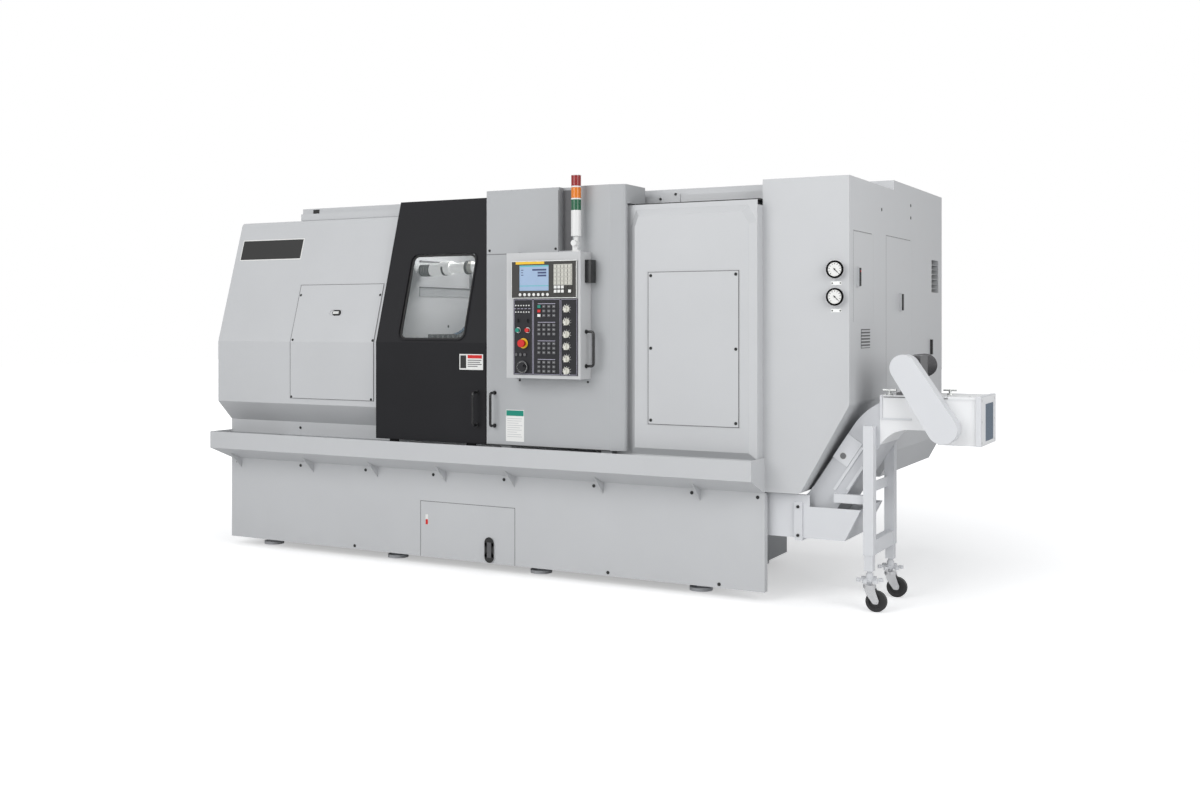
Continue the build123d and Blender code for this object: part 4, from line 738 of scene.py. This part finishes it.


# %% [markdown]
# Above the operator box the grey door has a screwed cover over its wiring, and a slot that the cables come out of.
# The slot is a real opening in the CAD part, so it only needs a dark plate inside it, which is painted shade.
# %% Grey door: wiring cover and slot
GREY = "grey_door"
plates("wiring_cover", [(1992, 2437, 1746, 2070)], DOOR_FACE, 1.2, door_grey, GREY)
plates("wiring_cover_edge", [(1992, 2437, 1742, 1746), (2435, 2438, 1746, 2070)], DOOR_FACE, 1.4, seam_grey, GREY)
discs("wiring_cover_screws", [(2010, -151.2, 1764), (2420, -151.2, 1764)], 7, SCREW_HEAD, ink_black, GREY)
discs("box_screws", [(2200, DOOR_FACE, 1072), (2612, DOOR_FACE, 1072)], 6, SCREW_HEAD, ink_black, GREY)
plates("slot_shade_lining", [(2444, 2518, 1756, 2070)], -111, 2, key_grey, GREY)
print("wiring cover", 2437 - 1992, "mm wide")


# %% [markdown]
# Below the box hangs a white card with a green head and nine lines, and a dark line ends the door at its foot.
# The lines take their lengths from a short list, because lines of one length would look like a grid.
# %% Grey door: card and foot line
line_lengths = (92, 88, 70, 94, 80, 90, 60, 86, 92)
plates("green_card", [(2113, 2226, 746, 914)], DOOR_FACE, 1, label_white, GREY)
plates("green_card_head", [(2116, 2223, 882, 911)], DOOR_FACE - 1, 0.6, start_green, GREY)
green_lines = [(2122, 2122 + wide, 866 - 12 * i, 869 - 12 * i) for i, wide in enumerate(line_lengths)]
plates("green_card_lines", green_lines, DOOR_FACE - 1, 0.6, panel_grey, GREY)
plates("door_foot_line", [(1992, 2740, 724, 727)], DOOR_FACE, SEAM, ink_black, GREY)
print("green card lines", len(green_lines))


# %% [markdown]
# The operator box is what people look at first, and its screen is the brightest thing on the machine.
# A screen gives light of its own, so a paint colour alone looks dead.
# Its finish therefore glows softly, and the bands and words are thin plates that stand before it.
# %% Operator box: screen
BOX = "operator_box"
SCREEN_FACE = -267.5
screen_blue = finish(
    "screen_blue", (0.22, 0.3, 0.42), 0.2, cloud=0.12, cloud_size=14, glow=((0.28, 0.4, 0.58), 0.36))
screen_teal = finish("screen_teal", (0.06, 0.3, 0.32), 0.3, glow=((0.08, 0.4, 0.42), 0.4))
screen_ink = finish("screen_ink", (0.03, 0.05, 0.14), 0.4)
plates("screen_glass", [(2270, 2446, 1543, 1675)], -266.2, 1.3, screen_blue, BOX)
plates("screen_bands", [(2271, 2445, 1667, 1674), (2271, 2445, 1566, 1570)], SCREEN_FACE, 0.5, screen_teal, BOX)
screen_words = [(2280, 2280 + wide, 1648 - 13 * i, 1652 - 13 * i) for i, wide in enumerate((14, 12, 14))]
plates("screen_words", screen_words, SCREEN_FACE, 0.5, screen_ink, BOX)
screen_digits = [(2432 - wide, 2432, 1646 - 15 * i, 1655 - 15 * i) for i, wide in enumerate((84, 52, 52))]
plates("screen_digits", screen_digits, SCREEN_FACE, 0.5, screen_ink, BOX)
print("screen", 2446 - 2270, "by", 1675 - 1543, "mm")


# %% [markdown]
# Round the screen sit a yellow bar, seven white soft keys below, and a pale keypad of five columns and seven rows.
# The keypad's upper rows are beige on a beige plate, and the white arrow keys form a cross on the grey case.
# One table holds the place of every key, and each group then picks its own keys out of it.
# %% Operator box: soft keys and keypad
key_beige = finish("key_beige", (0.62, 0.61, 0.55), 0.5)
signal_yellow = finish("signal_yellow", (0.85, 0.52, 0.02), 0.4)
UNIT_FACE, KEYPAD_FACE, KEYPAD_CAPS = -270, -272, -275
KEY_PITCH = 21
plates("yellow_bar", [(2249, 2421, 1680, 1693)], UNIT_FACE, 1, signal_yellow, BOX)
discs("soft_keys", [(2277 + 27.5 * i, KEYPAD_FACE, 1523) for i in range(7)], 8, -1.5, label_white, BOX)
plates("keypad_plate", [(2478, 2587, 1570, 1677)], KEYPAD_FACE, 0.6, key_beige, BOX)
keypad = {
    (column, row): (2481.5 + KEY_PITCH * column, 2497.5 + KEY_PITCH * column,
                    1531.5 + KEY_PITCH * row, 1546.5 + KEY_PITCH * row)
    for column in range(5) for row in range(7)
}
cross_keys = {(0, 0), (1, 0), (2, 0), (4, 0), (0, 1), (1, 1), (2, 1)}
plates("keypad_caps", [keypad[key] for key in keypad if key[1] > 1], KEYPAD_CAPS, 1, key_beige, BOX)
plates("keypad_cross", [keypad[key] for key in keypad if key in cross_keys], KEYPAD_CAPS, 1, label_white, BOX)
unit_edges = [(2224, 2610, 1694, 1697), (2224, 2610, 1504, 1507), (2222, 2225, 1504, 1697), (2609, 2612, 1504, 1697)]
plates("unit_rim", unit_edges, UNIT_FACE, 1, zinc, BOX)
print("keypad places", len(keypad))


# %% [markdown]
# Below the screen the operator panel has four groups of keys, three rows of four in each.
# A function gives the outline of any key from its column, group and row, as the panel's maker would space them.
# The first column starts with a green, a red and a white cap, and all the others are dark with a small dull mark.
# %% Operator box: panel keys
KEY_COLUMN, KEY_GROUP, KEY_ROW = 29.6, 95.5, 23
KEY_BACK, KEY_CAP = -269, 1


def panel_key(column, group, row):
    """The outline of one key cap of the operator panel."""
    x = 2389 + column * KEY_COLUMN
    z = 1461 - group * KEY_GROUP - row * KEY_ROW
    return (x - 9, x + 9, z - 7, z + 7)


coloured_keys = {
    (0, 0, 0): ("keys_green", start_green), (0, 0, 1): ("keys_red", stop_red), (0, 0, 2): ("keys_pale", label_white)}
for key, (name, colour) in coloured_keys.items():
    plates(name, [panel_key(*key)], KEY_BACK, KEY_CAP, colour, BOX)
every_key = [(column, group, row) for group in range(4) for row in range(3) for column in range(4)]
plain_keys = [panel_key(*key) for key in every_key if key not in coloured_keys]
plates("keys_plain", plain_keys, KEY_BACK, KEY_CAP, key_grey, BOX)
key_marks = [(left + 4, right - 5, low + 6, low + 8.5) for left, right, low, high in plain_keys]
plates("key_marks", key_marks, KEY_BACK - KEY_CAP, 0.4, door_grey, BOX)
print("panel keys", len(every_key))


# %% [markdown]
# Two rows of small lamps, three round keys and the yellow ring of the emergency stop fill the panel's left column.
# Round things could be flattened spheres, but short discs keep a sharp rim that catches the light.
# %% Operator box: lamps, round keys and stop ring
lamps = [(2248 + 16 * column, -267.5, 1467 - 34 * row) for column in range(6) for row in range(2)]
discs("panel_lamps", lamps, 3.6, -1, label_white, BOX, sides=16)
discs("stop_ring", [(2296, UNIT_FACE, 1271)], 26.5, -1, signal_yellow, BOX, hole=14)
discs("round_keys", [(x, -271, 1212) for x in (2252, 2278, 2304)], 8, -1.2, key_grey, BOX)
print("panel lamps", len(lamps))


# %% [markdown]
# Thin lilac lines are printed round the panel's three columns, and short strokes stand for its captions.
# Printing has no thickness, but a plate of nothing would flicker against the panel, so it gets under a millimetre.
# %% Operator box: printed lines
panel_line = finish("panel_line", (0.42, 0.40, 0.50), 0.5)
PANEL_FACE, INK, LINE = -266, 0.8, 2
PANEL_LOW, PANEL_HIGH = 1111, 1498
panel_lines = []
for left, right in ((2236, 2349), (2354, 2513), (2518, 2612)):
    panel_lines += [(left, left + LINE, PANEL_LOW, PANEL_HIGH), (right - LINE, right, PANEL_LOW, PANEL_HIGH)]
    panel_lines += [(left, right, PANEL_LOW, PANEL_LOW + LINE), (left, right, PANEL_HIGH - LINE, PANEL_HIGH)]
plates("panel_lines", panel_lines, PANEL_FACE, INK, panel_line, BOX)
captions = [(2234 + 22 * i, 2248 + 22 * i, 1449, 1452) for i in range(5)]
captions += [(2380, 2484, 1474 - KEY_GROUP * group, 1477 - KEY_GROUP * group) for group in range(4)]
plates("panel_captions", captions, PANEL_FACE, INK, panel_line, BOX)
print("captions", len(captions))


# %% [markdown]
# Six rotary switches are moulded in cream plastic, each with a dark pointer on its cap.
# The pointer rides on the knob and turns with it, while the strokes of the scale are printed on the panel and stay.
# All the strokes are one mesh, because they never move apart.
# %% Operator box: knobs and scales
KNOB_X = 2552
KNOB_HEIGHTS = (1448, 1382, 1318, 1256, 1194, 1132)
STROKES = 9
scale = bmesh.new()
for number, knob_z in enumerate(KNOB_HEIGHTS, start=1):
    pointer = (KNOB_X - 1.5, KNOB_X + 1.5, knob_z + 4, knob_z + 15)
    plates(f"knob_{number}_mark", [pointer], -287, 0.6, ink_black, f"rotary_knob_{number}")
    for step in range(STROKES):
        on_stroke = turned(KNOB_X, knob_z, radians(-45 + 33.75 * step))
        add_box(scale, on_stroke, 20, 25, PANEL_FACE - INK, PANEL_FACE, -TICK_HALF, TICK_HALF)
piece_from("knob_scales", scale, label_white, BOX)
print("scale strokes", STROKES * len(KNOB_HEIGHTS))


# %% [markdown]
# The pulse dial moves a slide by hand, one click at a time, and has marks round its rim.
# The marks are placed by an angle in a loop, as a turned array would do it.
# Steel rings frame the start and hold buttons, so that a finger finds them.
# %% Operator box: dial and button rings
DIAL_X, DIAL_Z, DIAL_FACE = 2292, 1148, -278.4
MARK_STEP = 15
mark_turns = [radians(angle) for angle in range(0, 360, MARK_STEP)]
discs("dial_rim", [(DIAL_X, DIAL_FACE, DIAL_Z)], 33, -1, key_grey, "pulse_dial", hole=30)
dial_marks = [(DIAL_X + 27 * cos(turn), DIAL_FACE, DIAL_Z + 27 * sin(turn)) for turn in mark_turns]
discs("dial_marks", dial_marks, 1.4, -0.6, label_white, "pulse_dial", sides=8)
for name, ring_x in (("start_ring", 2262), ("hold_ring", 2320)):
    discs(name, [(ring_x, -268, 1339)], 14.5, 2, zinc, BOX, hole=11.6)
print("dial marks", len(dial_marks))


# %% [markdown]
# The chip conveyor's flange is bolted on, and its head ends in a dark-blue inspection window.
# The end wall is closed in the CAD part, so the window lies on it as a thin glossy plate within a frame of strips.
# %% Conveyor: flange bolts, end window and frame
window_blue = finish("window_blue", (0.05, 0.10, 0.16), 0.15, cloud=0.3, cloud_size=12)
discs("flange_bolts", [(3675, 48, z) for z in (338, 478)], 7.5, -6, ink_black)
side_plates("end_window", [(191, 369, 824, 999)], 4541.6, 0.8, window_blue)
end_strips = [(88, 100, 805, 1033), (420, 432, 805, 1033), (88, 432, 1033, 1037)]
side_plates("end_frame", end_strips, 4520, 22, conveyor_white)
frame_bolts = [(4541.8, y, z) for y in (112, 408) for z in (822, 919, 1016)]
discs("frame_bolts", frame_bolts, 6, 0.7, zinc, axis="x")
print("frame bolts", len(frame_bolts))


# %% [markdown]
# The head's lid is held by two clamps, each a base, a stem and a cross bar to turn it by.
# Folded seams and a dark lid edge break up the plain side wall.
# %% Conveyor: head seams and clamps
HEAD_SIDE, HEAD_TOP = 100, 1033
plates("head_seams", [(4068, 4080, 925, 1033), (4068, 4218, 917, 925)], HEAD_SIDE, 6, conveyor_white)
plates("head_lid_edge", [(4085, 4520, 1022, 1026)], HEAD_SIDE, 3, seam_grey)
for number, (clamp_x, clamp_y) in enumerate(((4363, 260), (4110, 116)), start=1):
    discs(f"clamp_{number}_stem", [(clamp_x, clamp_y, HEAD_TOP)], 7, 26, zinc, axis="z")
    discs(f"clamp_{number}_bar", [(clamp_x - 32, clamp_y, HEAD_TOP + 23)], 6, 64, zinc, axis="x")
    discs(f"clamp_{number}_base", [(clamp_x, clamp_y, HEAD_TOP)], 14, 8, zinc, axis="z")
head_bolts = [(4090 + 100 * i, 112, HEAD_TOP) for i in range(5)]
discs("head_bolts", head_bolts, 6, 4, zinc, axis="z")
print("head bolts", len(head_bolts))


# %% [markdown]
# A gear motor drives the belt, and an electric motor is known by its cooling fins.
# Eight rings round the plain barrel make them, which is lighter than cutting grooves, and a black ring ends it.
# %% Conveyor: motor ring and fins
MOTOR_X, MOTOR_Z = 4198, 1167
discs("motor_ring", [(MOTOR_X, 452, MOTOR_Z)], 56.5, 10, ink_black, hole=47)
motor_fins = [(MOTOR_X, 282 + 22 * i, MOTOR_Z) for i in range(8)]
discs("motor_fins", motor_fins, 58, 5, dark_steel, hole=54)
print("motor fins", len(motor_fins))


# %% [markdown]
# The trough's side wall is stiffened along the incline by two folded strips and a plate with a lifting hole.
# A placing function measures along the incline instead of along the floor, so the strips need no angles of their own.
# The hole is a dark disc, which is painted shade, with a bright rim, because the wall behind it is closed.
# %% Conveyor: strips on the incline
INCLINE_X, INCLINE_Z = 3718, 408.5
incline_turn = atan2(541, 359)


def on_incline(run, y, side):
    """A placing function: so far up the incline, then Y, then so far to its upper left side."""
    x = INCLINE_X + run * cos(incline_turn) - side * sin(incline_turn)
    return spot(x, y, INCLINE_Z + run * sin(incline_turn) + side * cos(incline_turn))


folded_strips = [(200, 455, -24, -10), (240, 380, -76, -62)]
plates("incline_strips", folded_strips, HEAD_SIDE, 6, conveyor_white, place=on_incline)
plates("incline_plate", [(330, 468, -8, 78)], HEAD_SIDE, 5, conveyor_white, place=on_incline)
discs("lifting_hole", [(364, 95, 38)], 15, -0.8, seam_grey, place=on_incline)
discs("lifting_hole_rim", [(364, 94.6, 38)], 18, -0.8, zinc, place=on_incline, hole=15)
plates("incline_edge", [(150, 468, 75, 78.4)], HEAD_SIDE, 2, seam_grey, place=on_incline)
print("incline", round(incline_turn * 180 / pi, 1), "degrees")


# %% [markdown]
# Inside, swarf falls on a hinged steel belt that runs the length of the trench and then climbs the incline.
# Such a belt is a row of plates with a hinge barrel between each two.
# Only its level upper run is made here, because no more of it can be seen.
# One plate and one barrel are written once and repeated at the belt's pitch, as an array modifier would do.
# %% Conveyor: hinged belt
BELT_START, BELT_PITCH, BELT_PLATES = 1425, 38.1, 58
BELT_FRONT, BELT_BACK = 122, 398
belt = bmesh.new()
for number in range(BELT_PLATES):
    x = BELT_START + number * BELT_PITCH
    add_box(belt, spot, x, x + 37, BELT_FRONT, BELT_BACK, 436, 440)
    add_box(belt, spot, x + 33, x + 42, BELT_FRONT, BELT_BACK, 438, 446)
piece_from("hinged_belt", belt, dark_steel, "machine")
belt_wings = [(BELT_START, 3632, y, y + 4, 430, 462) for y in (118, BELT_BACK)]
boxes("belt_wings", belt_wings, dark_steel)
print("belt plates", BELT_PLATES)


# %% [markdown]
# The work lamp is a tube that hangs behind the window, with a knurled black end, dark clamp rings and
# a pale connector.
# Knurling is a fine diamond pattern, which from outside the door is no more than a row of dark rings.
# %% Work room: lamp
LAMP_Y, LAMP_Z = 300, 1690
discs("lamp_end", [(1216, LAMP_Y, LAMP_Z)], 30, 20, bright_steel, axis="x")
discs("lamp_knurl", [(1236 + 12 * i, LAMP_Y, LAMP_Z) for i in range(6)], 38, 9, ink_black, axis="x")
# The sleeve shares the tube's glow, which is painted light.
discs("lamp_sleeve", [(1236, LAMP_Y, LAMP_Z)], 35, 160, lamp_tube_painted_light, axis="x")
lamp_rings = [(1396, LAMP_Y, 1696), (1560, LAMP_Y, 1700), (1880, LAMP_Y, 1700)]
discs("lamp_rings", lamp_rings, 41, 14, ink_black, axis="x", hole=26)
discs("lamp_connector", [(1576, LAMP_Y, 1700)], 33, 26, key_beige, axis="x", hole=26)
boxes("lamp_bracket", [(1400, 1430, 300, 560, 1716, 1736)], zinc)
print("lamp rings", len(lamp_rings))


# %% [markdown]
# What else the window shows is the wall beside the chuck: a shallow recess, a small hole and a rack of tooling.
# The recess is drawn by dark lines at its edges and a darker band below, which are painted shade, since it is too
# shallow to be seen as a hollow.
# %% Work room: wall
WALL_X = 1206
boxes("recess_shadow_edges", [
    (WALL_X, WALL_X + 14, 312, 853, 1741, 1749), (WALL_X, WALL_X + 14, 845, 853, 1534, 1745),
    (WALL_X, WALL_X + 10, 312, 853, 1586, 1592)], seam_grey)
side_plates("recess_shade", [(312, 853, 1534, 1586)], WALL_X, 4, door_grey)
# The small hole is a dark disc, which is painted shade.
discs("wall_hole", [(WALL_X + 1, 611, 1353)], 9, 1, ink_black, axis="x")
side_plates("tool_rack", [(400, 690, 1225, 1306)], WALL_X, 30, dark_steel)
rack_slots = [(415 + 54 * i, 445 + 54 * i, 1282, 1300) for i in range(5)]
side_plates("tool_rack_slots", rack_slots, WALL_X + 30, 1, ink_black)
print("rack slots", len(rack_slots))


# %% [markdown]
# A blue pipe brings the coolant to the tools and shows low in the window.
# A curve with a bevel would make it too, but a chain of rings between places is one more small loop to learn from.
# Each ring stands square to the line from the place before it to the place after it, so the pipe keeps its roundness.
# %% Work room: coolant pipe
PIPE_SIDES, PIPE_PLACES, PIPE_RADIUS = 10, 10, 9


def pipe(name, points, radius, material, body):
    """A rigid round pipe, bent through a row of places."""
    mesh_data, rings = bmesh.new(), []
    angles = [2 * pi * k / PIPE_SIDES for k in range(PIPE_SIDES)]
    for before, middle, after in zip(points[:1] + points, points, points[1:] + points[-1:]):
        along = (spot(*after) - spot(*before)).normalized()
        side = along.orthogonal().normalized()
        up = along.cross(side)
        centre = spot(*middle)
        rings.append([
            mesh_data.verts.new(centre + (side * cos(angle) + up * sin(angle)) * radius * MM) for angle in angles])
    for ring, ahead in zip(rings, rings[1:]):
        for k in range(PIPE_SIDES):
            j = (k + 1) % PIPE_SIDES
            mesh_data.faces.new((ring[k], ring[j], ahead[j], ahead[k]))
    mesh_data.faces.new(rings[0])
    mesh_data.faces.new(rings[-1][::-1])
    piece_from(name, mesh_data, material, body)


pipe_path = []
for i in range(PIPE_PLACES + 1):
    sag = sin(pi * i / PIPE_PLACES)
    pipe_path.append((WALL_X + 20 + 10 * sag, 640 + 19 * i, 1300 + 11 * i - 22 * sag))
pipe("coolant_pipe", pipe_path, PIPE_RADIUS, window_blue, "machine")
print("pipe places", len(pipe_path))
